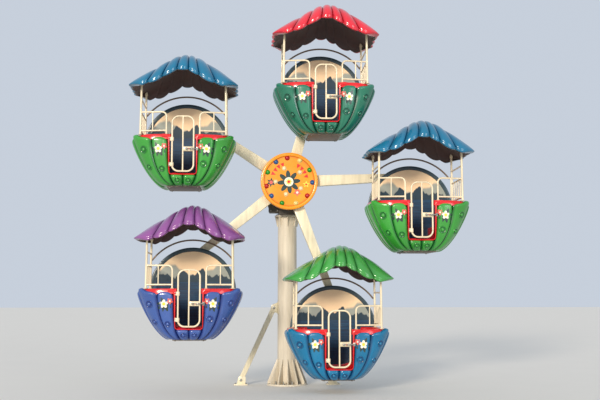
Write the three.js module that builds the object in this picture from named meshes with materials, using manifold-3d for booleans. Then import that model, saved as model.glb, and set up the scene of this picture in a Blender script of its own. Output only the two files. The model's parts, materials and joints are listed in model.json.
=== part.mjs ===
// A small kids' ferris wheel. One round column carries a hub with five box arms, and each arm
// carries a petal-shaped cabin in front of it on a shaft, so that the cabin stays level.
// Millimetres, +Z up. The cabins' doors face -Y, and the wheel turns about a line along Y.
import * as THREE from "three";
import { mergeVertices } from "three/addons/utils/BufferGeometryUtils.js";
import Module from "manifold-3d";

const wasm = await Module();
wasm.setup();

// Whole ride
const GAP = 0.3; // between neighbouring pieces that rest on each other
const JOIN = 5; // how far the pieces of one solid run into each other
const OVERSHOOT = 20; // how far a cutting solid passes what it cuts
const HUB_HEIGHT = 2500;
const PIVOT_RADIUS = 1490; // hub to cabin shaft
const STATIONS = [
  // angle of the arm from +X, canopy colour, bowl colour
  { angle: 74.9, canopy: 0xd83a4c, bowl: 0x3f9177 },
  { angle: 2.9, canopy: 0x2a7fb5, bowl: 0x4fa94d },
  { angle: 290.9, canopy: 0x46ab52, bowl: 0x2382b4 },
  { angle: 218.9, canopy: 0x9659ab, bowl: 0x4d69a4 },
  { angle: 146.9, canopy: 0x2a7fb5, bowl: 0x4fa94d },
];

// Column and its base
const COLUMN_FOOT_RADIUS = 122;
const COLUMN_TOP_RADIUS = 118;
const COLUMN_SIDES = 24;
const FLANGE_RADIUS = 252;
const FLANGE_THICKNESS = 20;
const FLANGE_SIDES = 32;
const BASE_GUSSETS = 12;
const BASE_GUSSET_HEIGHT = 300;
const BASE_GUSSET_TOE = 30; // height of its outer end
const BASE_GUSSET_TIP = 14; // width of its top
const GUSSET_THICKNESS = 12;
const GUSSET_MARGIN = 8; // from a gusset's outer end to the rim of its plate

// Column head: round top plate with gussets under it, and the bearing housing on it
const HEAD_PLATE_Z = HUB_HEIGHT - 405;
const HEAD_PLATE_RADIUS = 160;
const HEAD_PLATE_THICKNESS = 20;
const HEAD_GUSSETS = 8;
const HEAD_GUSSET_HEIGHT = 120;
const HEAD_GUSSET_TOE = 15;
const HEAD_GUSSET_TIP = 10;
const HOUSING_HALF_WIDTH = 110;
const HOUSING_FRONT_Y = -238;
const HOUSING_BACK_Y = 176;
const SHAFT_RADIUS = 50;
const SHAFT_CLEARANCE = 1;
const SHAFT_SIDES = 20;

// Hub and arms
const ARM_FRONT_Y = -425;
const ARM_BACK_Y = -325;
const ARM_ROOT_WIDTH = 142;
const ARM_TIP_WIDTH = 84;
const HUB_FLAT_RADIUS = 170; // centre to each of the five flats that the arms sit on
const HUB_FRONT_Y = -436;
const HUB_BACK_Y = -313;
const HUB_FLANGE_RADIUS = 195;
const HUB_FLANGE_BACK_Y = -290;
const HUB_NECK_RADIUS = 105;
const HUB_NECK_CLEARANCE = 1; // from the housing
const COLLAR_RADIUS = 82;
const COLLAR_THICKNESS = 28;
const COLLAR_CLEARANCE = 4; // from the housing
const LARGE_ROUND_SIDES = 24;
const SMALL_ROUND_SIDES = 16;

// Orange cover disc with its knobs
const COVER_RADIUS = 350;
const COVER_BACK_Y = -440;
const COVER_FACE_Y = -500;
const COVER_RIM_WIDTH = 44;
const COVER_RIM_HEIGHT = 16;
const COVER_RIM_SLOPE = 8;
const COVER_DOME = 6;
const COVER_WALL = 10;
const COVER_BOSS_RADIUS = 70;
const COVER_SIDES = 26;
const KNOB_SIDES = 6;
const RIM_KNOBS = 11;
const RIM_KNOB_CIRCLE = 284;
const RIM_KNOB_RADIUS = 26;
const RIM_KNOB_START = -3;
const INNER_KNOBS = 5;
const INNER_KNOB_CIRCLE = 167;
const INNER_KNOB_RADIUS = 23;
const INNER_KNOB_START = 40;

// Cabin shaft and the barrel at the arm's end
const PIN_RADIUS = 30;
const PIN_CLEARANCE = 0.9;
const PIN_SIDES = 16;
const BARREL_RADIUS = 60;
const BARREL_FRONT_Y = -432;
const BARREL_BACK_Y = -262;
const PIN_COLLAR_RADIUS = 46;
const PIN_COLLAR_THICKNESS = 24;
const PIN_END_PLAY = 1; // between the barrel and the pieces on both sides of it

// Back panel: a round board in a ring, with its centre below the shaft
const PANEL_RADIUS = 520;
const PANEL_DROP = 400;
const PANEL_RING_WIDTH = 50;
const PANEL_FRONT_Y = -510;
const PANEL_BACK_Y = -480;
const PANEL_RECESS = 6;
const PANEL_RING_BEVEL = 8;
const PANEL_SIDES = 26;
const SPINE_WIDTH = 110;
const SPINE_BACK_Y = -455;
const SPINE_TOP_Z = 70;
const SPINE_BOTTOM_Z = -760;
const CROSS_BEAM_HALF_LENGTH = 360;
const CROSS_BEAM_Z = -620;
const CROSS_BEAM_HEIGHT = 70;

// Cabin shell, in heights from the shaft
const BACK_REACH = 388; // from the cabin's centre to the flat at its back
const CABIN_Y = PANEL_FRONT_Y + PANEL_RECESS - GAP - BACK_REACH; // centre of the cabin, in depth
const RIM_Z = -405;
const SHELL_BOTTOM_Z = -950;
const SHELL_WALL = 12;
const LINER_WALL = 10;
const CUT_REACH = 1000; // of the blocks that cut a cabin's pieces, from the cabin's centre
const SHELL_SIDES = 16;
const SHELL_LEVELS = 4;
const SQUARENESS = 3.5; // of the shell's plan: 2 is an ellipse, more is boxier
// Height, half width, front reach and back reach, each from the rim to the bottom
const HEIGHT_CURVE = [RIM_Z, -634, SHELL_BOTTOM_Z, SHELL_BOTTOM_Z];
const WIDTH_CURVE = [608, 508, 325, 200];
const FRONT_CURVE = [390, 386, 370, 225];
const BACK_CURVE = [415, 415, 400, 300];
const RIM_FLANGE_WIDTH = 70;
const RIM_FLANGE_TOP_Z = -375;
const SEAT_TOP_Z = -650;
const FOOTWELL_HALF_WIDTH = 200;
const BASE_PLATE = { halfWidth: 190, front: 215, back: 275, thickness: 12 };

// Doorway, its red lips and the tube door
const DOORWAY_HALF_WIDTH = 150;
const DOORWAY_END = -200; // where its cut ends, from the cabin's centre
const SILL_Z = -824;
const LIP_WIDTH = 30;
const LIP_FRONT = -392; // from the cabin's centre
const LIP_BACK = -340;
const DOOR_PLANE = -366;
const DOOR_TUBE_RADIUS = 11;
const DOOR_BAR_RADIUS = 9;
const DOOR_HALF_WIDTH = 122; // to the middle of the tube
const DOOR_TOP_Z = -167;
const DOOR_BOTTOM_Z = -799;
const DOOR_CORNER_RADIUS = 45;
const DOOR_TUBE_SIDES = 6;
const LATCH_Z = -544;
const LATCH_STANDOFF = 7; // in front of the lips, which the bolt passes over
const LATCH_PLATE = { left: -8, halfHeight: 26, back: 6 };
const LATCH_BOLT = { left: 20, halfHeight: 7, thickness: 12, reach: 16 };
const HINGE_Z = [-432, -723];
const HINGE_HEIGHT = 44;
const HINGE_WALL = 6.5;
const HINGE_CLEARANCE = 1.6;
const HINGE_HOLE_SIDES = 8;

// Cabin frame of bent tube
const TUBE_RADIUS = 14;
const ARCH_TUBE_RADIUS = 11;
const POST_SIDES = 6;
const RAIL_SIDES = 4;
const POST_FOOT_X = 488;
const POST_TOP_X = 480;
const POST_TOP_Z = 300;
const POST_UNCUT_Z = 400; // before the canopy cuts the posts off
const POST_FRONT = -305; // from the cabin's centre
const POST_BACK = 225;
const RAIL_TOP_Z = -115;
const RAIL_MID_Z = -331;
const SIDE_BAR_Z = 35;
const RAIL_END_X = 190;
const RAIL_END_DEPTH = -350;
const RAIL_CORNER_RADIUS = 62;
const ARCH_RADIUS = 608; // about the panel's centre
const ARCH_DEPTH = 380; // from the cabin's centre
const ARCH_END_X = 484;
const ARCH_STEPS = 8;

// Canopy: seven puffed lobes on each side of a spine that runs from tip to tip
const CANOPY_PEAK_Z = 568;
const CANOPY_PEAK_X = 40;
const CANOPY_TIP_X = 590;
const SPINE_DROP = 340; // at the tips
const SPINE_DROP_POWER = 1.5;
const EDGE_DROP = 220; // in the middle
const EDGE_FALL = 178; // from there to the tips
const EDGE_FALL_REACH = 260;
const CANOPY_HALF_LENGTH = 635; // of the boxy oval that its plan is cut from
const CANOPY_HALF_DEPTH = 455;
const CANOPY_Y = CABIN_Y - 95; // its spine, in depth
const CANOPY_SQUARENESS = 4;
const CANOPY_STEEPEST = 78; // slope of its edge, in degrees
const CANOPY_WALL = 12;
const CANOPY_PUFF = 30;
const PUFF_START = 0.15; // of half a wave, at the spine
const PUFF_SAG = 0.8;
const LOBE_SPINE_X = [-590, -230, -108, -22, 52, 118, 205, 590];
const LOBE_EDGE_X = [-612, -392, -228, -63, 65, 182, 368, 612];
const CANOPY_STEPS_PER_LOBE = 4;
const CANOPY_STEPS_ACROSS = 6;

// Drive unit beside the housing
const GEARBOX = {
  left: -235,
  front: -200,
  back: -20,
  bottom: HUB_HEIGHT - 360,
  top: HUB_HEIGHT - 160,
};
const MOTOR = { x: -178, z: HUB_HEIGHT - 255, radius: 60, back: 225 };

// Braces
const BRACE_TUBE = 64;
const BRACE_FOOT_X = 577;
const BRACE_FOOT_Z = 62;
const BRACE_TOP_X = 168;
const BRACE_TOP_Z = 955;
const BRACE_OVERRUN = 20; // of the tube past each pin
const BRACE_LUG_THICKNESS = 10;
// Lugs, in distances from their pin
const FOOT_LUG = { left: 50, right: 55, topLeft: 20, topRight: 45, rise: 45 };
const TOP_LUG = { left: 42, topLeft: 12, drop: 60, rise: 40, riseAtColumn: 60 };
const BRACE_PAD = { thickness: 12, margin: 20, halfHeight: 75, depth: 40 };
const BRACE_PIN_RADIUS = 16;
const BRACE_PIN_END = 12; // outside the lugs
const BRACE_PIN_SIDES = 10;
const BRACE_PLATE = { length: 170, width: 130, thickness: 14 };

const CREAM = 0xe6dcc0;
const COLUMN_GREY = 0xcdc4b4;
const RED = 0xe02c2e;
const DARK_SLATE = 0x233f48;
const DARK_STEEL = 0x3a3732;
const ORANGE = 0xf5a022;

const radians = THREE.MathUtils.degToRad;
const { lerp } = THREE.MathUtils;

// A geometry as a solid that can be joined and cut.
function toSolid(geometry) {
  const bare = geometry.clone();
  bare.deleteAttribute("normal");
  bare.deleteAttribute("uv");
  const merged = mergeVertices(bare, 1e-3);
  return new wasm.Manifold(
    new wasm.Mesh({
      numProp: 3,
      vertProperties: merged.attributes.position.array,
      triVerts: new Uint32Array(merged.index.array),
    }),
  );
}

function toGeometry(solid) {
  const mesh = solid.getMesh();
  const geometry = new THREE.BufferGeometry();
  geometry.setAttribute("position", new THREE.BufferAttribute(mesh.vertProperties, 3));
  geometry.setIndex(new THREE.BufferAttribute(mesh.triVerts, 1));
  geometry.computeVertexNormals();
  return geometry;
}

function joined(...geometries) {
  return geometries.map(toSolid).reduce((whole, piece) => whole.add(piece));
}

// A box between two corners, each [x, y, z].
function box(low, high) {
  const size = high.map((value, i) => value - low[i]);
  const middle = high.map((value, i) => (value + low[i]) / 2);
  return new THREE.BoxGeometry(...size).translate(...middle);
}

// A block over a cabin's whole plan, between two heights.
function slab(lowZ, highZ) {
  return box(
    [-CUT_REACH, CABIN_Y - CUT_REACH, lowZ],
    [CUT_REACH, CABIN_Y + CUT_REACH, highZ],
  );
}

// A cylinder along Y about (x, z).
function barrel(radius, frontY, backY, x, z, sides) {
  return new THREE.CylinderGeometry(radius, radius, backY - frontY, sides).translate(
    x,
    (frontY + backY) / 2,
    z,
  );
}

// A cylinder or cone along Z on the origin's axis.
function pillar(lowRadius, highRadius, lowZ, highZ, sides) {
  return new THREE.CylinderGeometry(highRadius, lowRadius, highZ - lowZ, sides)
    .rotateX(Math.PI / 2)
    .translate(0, 0, (lowZ + highZ) / 2);
}

// An outline of [x, z] points, extruded along Y.
function plateAlongY(outline, frontY, backY) {
  const shape = new THREE.Shape(outline.map(([x, z]) => new THREE.Vector2(x, z)));
  return new THREE.ExtrudeGeometry(shape, { depth: backY - frontY, bevelEnabled: false })
    .rotateX(Math.PI / 2)
    .translate(0, backY, 0);
}

// A route through given points, with one section of the tube at each of them.
class TubeRoute extends THREE.Curve {
  constructor(points) {
    super();
    this.points = points;
  }

  indexAt(u) {
    return Math.round(u * (this.points.length - 1));
  }

  getPointAt(u) {
    return this.points[this.indexAt(u)].clone();
  }

  getTangentAt(u) {
    const i = this.indexAt(u);
    const here = this.points[i];
    const before = this.points[i - 1] ?? here;
    const after = this.points[i + 1] ?? here;
    const into = new THREE.Vector3().subVectors(here, before).normalize();
    const away = new THREE.Vector3().subVectors(after, here).normalize();
    return into.add(away).normalize();
  }
}

// A tube along a route. A corner, other than the two ends, is rounded to its bend radius.
function tube(corners, radius, sides, bendRadius = 0, bendSteps = 2) {
  const places = corners.map((corner) => new THREE.Vector3(...corner));
  const route = [places[0]];
  for (let i = 1; i < places.length - 1; i += 1) {
    if (bendRadius === 0) {
      route.push(places[i]);
      continue;
    }
    const corner = places[i];
    const [start, end] = [places[i - 1], places[i + 1]].map((next) =>
      corner.clone().lerp(next, bendRadius / corner.distanceTo(next)),
    );
    route.push(...new THREE.QuadraticBezierCurve3(start, corner, end).getPoints(bendSteps));
  }
  route.push(places[places.length - 1]);
  const section = new THREE.Shape();
  for (let i = 0; i < sides; i += 1) {
    const turn = ((i + 0.5) / sides) * 2 * Math.PI;
    const point = [radius * Math.cos(turn), radius * Math.sin(turn)];
    if (i === 0) section.moveTo(...point);
    else section.lineTo(...point);
  }
  return new THREE.ExtrudeGeometry(section, {
    steps: route.length - 1,
    extrudePath: new TubeRoute(route),
  });
}

// Half a ball that faces -Y, with a short root behind its base.
function knob(radius) {
  const shoulder = radius * Math.SQRT1_2;
  const profile = [
    [0, -radius],
    [shoulder, -shoulder],
    [radius, 0],
    [radius, JOIN],
    [0, JOIN],
  ].map(([distance, y]) => new THREE.Vector2(distance, y));
  return new THREE.LatheGeometry(profile, KNOB_SIDES);
}

const columnRadiusAt = (z) =>
  lerp(COLUMN_FOOT_RADIUS, COLUMN_TOP_RADIUS, z / HEAD_PLATE_Z);

// A gusset: a thin upright plate against the column, turned about it.
function gusset(outline, turn) {
  const half = GUSSET_THICKNESS / 2;
  return plateAlongY(outline, -half, half).rotateZ(turn);
}

function makeColumn() {
  const low = FLANGE_THICKNESS + GAP;
  const high = HEAD_PLATE_Z - GAP;
  return pillar(columnRadiusAt(low), columnRadiusAt(high), low, high, COLUMN_SIDES);
}

function makeBaseFlange() {
  let flange = toSolid(pillar(FLANGE_RADIUS, FLANGE_RADIUS, 0, FLANGE_THICKNESS, FLANGE_SIDES));
  const rootZ = FLANGE_THICKNESS - JOIN;
  const topZ = FLANGE_THICKNESS + BASE_GUSSET_HEIGHT;
  const outline = [
    [columnRadiusAt(rootZ) + GAP, rootZ],
    [FLANGE_RADIUS - GUSSET_MARGIN, rootZ],
    [FLANGE_RADIUS - GUSSET_MARGIN, FLANGE_THICKNESS + BASE_GUSSET_TOE],
    [columnRadiusAt(topZ) + BASE_GUSSET_TIP, topZ],
    [columnRadiusAt(topZ) + GAP, topZ],
  ];
  for (let i = 0; i < BASE_GUSSETS; i += 1) {
    flange = flange.add(toSolid(gusset(outline, (i / BASE_GUSSETS) * 2 * Math.PI)));
  }
  return toGeometry(flange);
}

function makeColumnHead() {
  const plateTop = HEAD_PLATE_Z + HEAD_PLATE_THICKNESS;
  let head = toSolid(
    pillar(HEAD_PLATE_RADIUS, HEAD_PLATE_RADIUS, HEAD_PLATE_Z, plateTop, COLUMN_SIDES),
  );
  const lowZ = HEAD_PLATE_Z - HEAD_GUSSET_HEIGHT;
  const outline = [
    [columnRadiusAt(lowZ) + GAP, lowZ],
    [columnRadiusAt(lowZ) + HEAD_GUSSET_TIP, lowZ],
    [HEAD_PLATE_RADIUS - GUSSET_MARGIN, HEAD_PLATE_Z - HEAD_GUSSET_TOE],
    [HEAD_PLATE_RADIUS - GUSSET_MARGIN, HEAD_PLATE_Z + JOIN],
    [columnRadiusAt(HEAD_PLATE_Z) + GAP, HEAD_PLATE_Z + JOIN],
  ];
  for (let i = 0; i < HEAD_GUSSETS; i += 1) {
    head = head.add(toSolid(gusset(outline, (i / HEAD_GUSSETS) * 2 * Math.PI)));
  }
  const housing = new THREE.Shape();
  housing.moveTo(-HOUSING_HALF_WIDTH, plateTop - JOIN);
  housing.lineTo(HOUSING_HALF_WIDTH, plateTop - JOIN);
  housing.absarc(0, HUB_HEIGHT, HOUSING_HALF_WIDTH, 0, Math.PI, false);
  const block = plateAlongY(
    housing.getPoints(6).map((point) => point.toArray()),
    HOUSING_FRONT_Y,
    HOUSING_BACK_Y,
  );
  const bore = barrel(
    SHAFT_RADIUS + SHAFT_CLEARANCE,
    HOUSING_FRONT_Y - OVERSHOOT,
    HOUSING_BACK_Y + OVERSHOOT,
    0,
    HUB_HEIGHT,
    SHAFT_SIDES,
  );
  return toGeometry(head.add(toSolid(block)).subtract(toSolid(bore)));
}

function makeDriveUnit() {
  const gearbox = box(
    [GEARBOX.left, GEARBOX.front, GEARBOX.bottom],
    [-HOUSING_HALF_WIDTH - GAP, GEARBOX.back, GEARBOX.top],
  );
  const motorFront = GEARBOX.back - JOIN;
  const motor = barrel(
    MOTOR.radius,
    motorFront,
    MOTOR.back,
    MOTOR.x,
    MOTOR.z,
    SMALL_ROUND_SIDES,
  );
  return toGeometry(joined(gearbox, motor));
}

// The left brace, from its foot plate to its bracket on the column, or the right one, which is
// the left one turned about the column.
function makeBrace(side) {
  const foot = new THREE.Vector3(-BRACE_FOOT_X, 0, BRACE_FOOT_Z);
  const top = new THREE.Vector3(-BRACE_TOP_X, 0, BRACE_TOP_Z);
  const half = BRACE_TUBE / 2;
  const lean = Math.atan2(top.x - foot.x, top.z - foot.z);
  const middle = foot.clone().lerp(top, 0.5);
  const length = foot.distanceTo(top) + 2 * BRACE_OVERRUN;
  const pole = new THREE.BoxGeometry(BRACE_TUBE, BRACE_TUBE, length)
    .rotateY(lean)
    .translate(middle.x, 0, middle.z);
  const plate = box(
    [foot.x - BRACE_PLATE.length / 2, -BRACE_PLATE.width / 2, 0],
    [foot.x + BRACE_PLATE.length / 2, BRACE_PLATE.width / 2, BRACE_PLATE.thickness],
  );
  const parts = [pole, plate];
  const columnRadius = columnRadiusAt(BRACE_TOP_Z);
  for (const lugSide of [-1, 1]) {
    const inner = lugSide * half;
    const outer = lugSide * (half + BRACE_LUG_THICKNESS);
    const [front, back] = [Math.min(inner, outer), Math.max(inner, outer)];
    const footLug = [
      [foot.x - FOOT_LUG.left, BRACE_PLATE.thickness - JOIN],
      [foot.x + FOOT_LUG.right, BRACE_PLATE.thickness - JOIN],
      [foot.x + FOOT_LUG.topRight, foot.z + FOOT_LUG.rise],
      [foot.x - FOOT_LUG.topLeft, foot.z + FOOT_LUG.rise],
    ];
    const topLug = [
      [top.x - TOP_LUG.left, top.z - TOP_LUG.drop],
      [OVERSHOOT - columnRadius, top.z - TOP_LUG.drop],
      [OVERSHOOT - columnRadius, top.z + TOP_LUG.riseAtColumn],
      [top.x - TOP_LUG.topLeft, top.z + TOP_LUG.rise],
    ];
    parts.push(plateAlongY(footLug, front, back), plateAlongY(topLug, front, back));
  }
  for (const pin of [foot, top]) {
    const reach = half + BRACE_LUG_THICKNESS + BRACE_PIN_END;
    parts.push(barrel(BRACE_PIN_RADIUS, -reach, reach, pin.x, pin.z, BRACE_PIN_SIDES));
  }
  const padHalfWidth = half + BRACE_PAD.margin;
  const pad = box(
    [-columnRadius - BRACE_PAD.thickness, -padHalfWidth, top.z - BRACE_PAD.halfHeight],
    [BRACE_PAD.depth - columnRadius, padHalfWidth, top.z + BRACE_PAD.halfHeight],
  );
  parts.push(pad);
  const clearance = pillar(
    columnRadiusAt(0) + GAP,
    columnRadiusAt(HEAD_PLATE_Z) + GAP,
    0,
    HEAD_PLATE_Z,
    COLUMN_SIDES,
  );
  const left = joined(...parts).subtract(toSolid(clearance));
  return toGeometry(side < 0 ? left : left.rotate([0, 0, 180]));
}

function makeHub() {
  const flats = new THREE.Shape();
  const cornerRadius = HUB_FLAT_RADIUS / Math.cos(Math.PI / STATIONS.length);
  STATIONS.forEach((station, i) => {
    const turn = radians(station.angle) + Math.PI / STATIONS.length;
    const corner = [cornerRadius * Math.cos(turn), cornerRadius * Math.sin(turn)];
    if (i === 0) flats.moveTo(...corner);
    else flats.lineTo(...corner);
  });
  const outline = flats.getPoints().map((point) => point.toArray());
  const round = (radius, frontY, backY, sides) => barrel(radius, frontY, backY, 0, 0, sides);
  const flangeFront = HUB_BACK_Y - JOIN;
  const neckFront = HUB_FLANGE_BACK_Y - JOIN;
  const neckBack = HOUSING_FRONT_Y - HUB_NECK_CLEARANCE;
  const collarFront = HOUSING_BACK_Y + COLLAR_CLEARANCE;
  const collarBack = collarFront + COLLAR_THICKNESS;
  return toGeometry(
    joined(
      plateAlongY(outline, HUB_FRONT_Y, HUB_BACK_Y),
      round(HUB_FLANGE_RADIUS, flangeFront, HUB_FLANGE_BACK_Y, LARGE_ROUND_SIDES),
      round(HUB_NECK_RADIUS, neckFront, neckBack, SMALL_ROUND_SIDES),
      round(SHAFT_RADIUS, neckBack - JOIN, collarFront + JOIN, SHAFT_SIDES),
      round(COLLAR_RADIUS, collarFront, collarBack, SMALL_ROUND_SIDES),
    ),
  );
}

function makeHubCover() {
  const rimInner = COVER_RADIUS - COVER_RIM_WIDTH;
  const profile = [
    [0, COVER_FACE_Y - COVER_DOME],
    [rimInner, COVER_FACE_Y],
    [rimInner + COVER_RIM_SLOPE, COVER_FACE_Y - COVER_RIM_HEIGHT],
    [COVER_RADIUS - COVER_RIM_SLOPE, COVER_FACE_Y - COVER_RIM_HEIGHT],
    [COVER_RADIUS, COVER_FACE_Y],
    [COVER_RADIUS, COVER_BACK_Y],
    [COVER_RADIUS - COVER_WALL, COVER_BACK_Y],
    [COVER_RADIUS - COVER_WALL, COVER_FACE_Y + COVER_WALL],
    [COVER_BOSS_RADIUS, COVER_FACE_Y + COVER_WALL],
    [COVER_BOSS_RADIUS, HUB_FRONT_Y - GAP],
    [0, HUB_FRONT_Y - GAP],
  ].map(([radius, y]) => new THREE.Vector2(radius, y));
  let cover = toSolid(new THREE.LatheGeometry(profile, COVER_SIDES));
  const rings = [
    [RIM_KNOBS, RIM_KNOB_CIRCLE, RIM_KNOB_RADIUS, RIM_KNOB_START],
    [INNER_KNOBS, INNER_KNOB_CIRCLE, INNER_KNOB_RADIUS, INNER_KNOB_START],
  ];
  for (const [count, circle, radius, start] of rings) {
    for (let i = 0; i < count; i += 1) {
      const turn = radians(start + (360 * i) / count);
      const place = [circle * Math.cos(turn), COVER_FACE_Y, circle * Math.sin(turn)];
      cover = cover.add(toSolid(knob(radius).translate(...place)));
    }
  }
  return toGeometry(cover);
}

// An arm along +X, with the hub's centre at the origin.
function makeArm() {
  const start = HUB_FLAT_RADIUS + GAP;
  const outline = [
    [start, -ARM_ROOT_WIDTH / 2],
    [PIVOT_RADIUS, -ARM_TIP_WIDTH / 2],
    [PIVOT_RADIUS, ARM_TIP_WIDTH / 2],
    [start, ARM_ROOT_WIDTH / 2],
  ];
  const arm = joined(
    plateAlongY(outline, ARM_FRONT_Y, ARM_BACK_Y),
    barrel(BARREL_RADIUS, BARREL_FRONT_Y, BARREL_BACK_Y, PIVOT_RADIUS, 0, PIN_SIDES),
  );
  const bore = barrel(
    PIN_RADIUS + PIN_CLEARANCE,
    BARREL_FRONT_Y - OVERSHOOT,
    BARREL_BACK_Y + OVERSHOOT,
    PIVOT_RADIUS,
    0,
    PIN_SIDES,
  );
  return toGeometry(arm.subtract(toSolid(bore)));
}

// The panel, its steel spine and beam, and the cabin's shaft, with the shaft on the origin's axis.
function makeBackPanel() {
  const boardRadius = PANEL_RADIUS - PANEL_RING_WIDTH;
  const profile = [
    [0, PANEL_FRONT_Y + PANEL_RECESS],
    [boardRadius, PANEL_FRONT_Y + PANEL_RECESS],
    [boardRadius + PANEL_RECESS, PANEL_FRONT_Y],
    [PANEL_RADIUS - PANEL_RING_BEVEL, PANEL_FRONT_Y],
    [PANEL_RADIUS, PANEL_FRONT_Y + PANEL_RING_BEVEL],
    [PANEL_RADIUS, PANEL_BACK_Y],
    [0, PANEL_BACK_Y],
  ].map(([radius, y]) => new THREE.Vector2(radius, y));
  const disc = new THREE.LatheGeometry(profile, PANEL_SIDES).translate(0, 0, -PANEL_DROP);
  const steelFront = PANEL_BACK_Y - JOIN;
  const spine = box(
    [-SPINE_WIDTH / 2, steelFront, SPINE_BOTTOM_Z],
    [SPINE_WIDTH / 2, SPINE_BACK_Y, SPINE_TOP_Z],
  );
  const halfBeam = CROSS_BEAM_HEIGHT / 2;
  const beam = box(
    [-CROSS_BEAM_HALF_LENGTH, steelFront, CROSS_BEAM_Z - halfBeam],
    [CROSS_BEAM_HALF_LENGTH, SPINE_BACK_Y, CROSS_BEAM_Z + halfBeam],
  );
  const round = (radius, frontY, backY) => barrel(radius, frontY, backY, 0, 0, PIN_SIDES);
  const pinFront = SPINE_BACK_Y - JOIN;
  const collarFront = BARREL_BACK_Y + PIN_END_PLAY;
  return toGeometry(
    joined(
      disc,
      spine,
      beam,
      round(SPINE_WIDTH / 2, pinFront, BARREL_FRONT_Y - PIN_END_PLAY),
      round(PIN_RADIUS, pinFront, collarFront + JOIN),
      round(PIN_COLLAR_RADIUS, collarFront, collarFront + PIN_COLLAR_THICKNESS),
    ),
  );
}

// Moves each vertex of a geometry to the place that a function gives for it.
function reshaped(geometry, place) {
  const position = geometry.getAttribute("position");
  const vertex = new THREE.Vector3();
  for (let i = 0; i < position.count; i += 1) {
    vertex.fromBufferAttribute(position, i);
    position.setXYZ(i, ...place(vertex));
  }
  return geometry;
}

// A cubic Bezier through its first and last value.
function curveValue([a, b, c, d], t) {
  const s = 1 - t;
  return s * s * s * a + 3 * s * s * t * b + 3 * s * t * t * c + t * t * t * d;
}

// A point of the shell's plan: a boxy oval with its own reach to the front and to the back, and
// cut flat at the back. The direction is a unit vector, or zero for the centre.
function planPoint(directionX, directionY, depth, inset) {
  const power = 2 / SQUARENESS;
  const reach = curveValue(directionY < 0 ? FRONT_CURVE : BACK_CURVE, depth) - inset;
  const halfWidth = curveValue(WIDTH_CURVE, depth) - inset;
  const y = reach * Math.sign(directionY) * Math.abs(directionY) ** power;
  return [
    halfWidth * Math.sign(directionX) * Math.abs(directionX) ** power,
    CABIN_Y + Math.min(y, BACK_REACH - inset),
  ];
}

// The solid inside the shell's surface, carried straight up from the rim to a top height. Its
// wall lies inwards of the surface by one inset at the rim and another at the floor.
function tub(rimInset, floorInset, topZ) {
  const blank = new THREE.CylinderGeometry(1, 1, 1, SHELL_SIDES, SHELL_LEVELS + 1);
  return reshaped(blank, ({ x, y, z }) => {
    const ring = Math.round((0.5 - y) * (SHELL_LEVELS + 1));
    const depth = Math.max(0, ring - 1) / SHELL_LEVELS;
    const inset = lerp(rimInset, floorInset, depth);
    const height = curveValue(HEIGHT_CURVE, depth) + floorInset * depth;
    return [...planPoint(x, -z, depth, inset), ring === 0 ? topZ : height];
  });
}

function rimOutline() {
  const points = [];
  for (let i = 0; i < SHELL_SIDES; i += 1) {
    const turn = (i / SHELL_SIDES) * 2 * Math.PI;
    points.push(new THREE.Vector2(...planPoint(Math.cos(turn), Math.sin(turn), 0, 0)));
  }
  return points;
}

function doorwayCut(sideMargin, sillMargin) {
  return box(
    [-DOORWAY_HALF_WIDTH - sideMargin, CABIN_Y - CUT_REACH, SILL_Z - sillMargin],
    [DOORWAY_HALF_WIDTH + sideMargin, CABIN_Y + DOORWAY_END, 0],
  );
}

// The petal-coloured shell with the flat plate under it.
function makeBowl() {
  const plate = box(
    [-BASE_PLATE.halfWidth, CABIN_Y - BASE_PLATE.front, SHELL_BOTTOM_Z - BASE_PLATE.thickness],
    [BASE_PLATE.halfWidth, CABIN_Y + BASE_PLATE.back, SHELL_BOTTOM_Z + JOIN],
  );
  return toGeometry(
    toSolid(tub(0, 0, RIM_Z + OVERSHOOT))
      .subtract(toSolid(slab(RIM_Z, RIM_Z + 2 * OVERSHOOT)))
      .subtract(toSolid(tub(SHELL_WALL, SHELL_WALL, RIM_Z + 2 * OVERSHOOT)))
      .subtract(toSolid(doorwayCut(LIP_WIDTH + GAP, LIP_WIDTH + GAP)))
      .add(toSolid(plate)),
  );
}

// Red lips round the doorway: two jambs and a sill.
function doorLips() {
  const outerX = DOORWAY_HALF_WIDTH + LIP_WIDTH;
  const lowZ = SILL_Z - LIP_WIDTH;
  const outline = [
    [-outerX, RIM_FLANGE_TOP_Z],
    [-outerX, lowZ],
    [outerX, lowZ],
    [outerX, RIM_FLANGE_TOP_Z],
    [DOORWAY_HALF_WIDTH, RIM_FLANGE_TOP_Z],
    [DOORWAY_HALF_WIDTH, SILL_Z],
    [-DOORWAY_HALF_WIDTH, SILL_Z],
    [-DOORWAY_HALF_WIDTH, RIM_FLANGE_TOP_Z],
  ];
  return plateAlongY(outline, CABIN_Y + LIP_FRONT, CABIN_Y + LIP_BACK);
}

// A block on the left jamb, in which the door's tube turns.
function hingeBlock(z) {
  const half = HINGE_HEIGHT / 2;
  const reach = DOOR_TUBE_RADIUS + HINGE_WALL;
  return box(
    [-DOORWAY_HALF_WIDTH - JOIN, CABIN_Y + DOOR_PLANE - reach, z - half],
    [-DOOR_HALF_WIDTH + reach, CABIN_Y + DOOR_PLANE + reach, z + half],
  );
}

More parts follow.
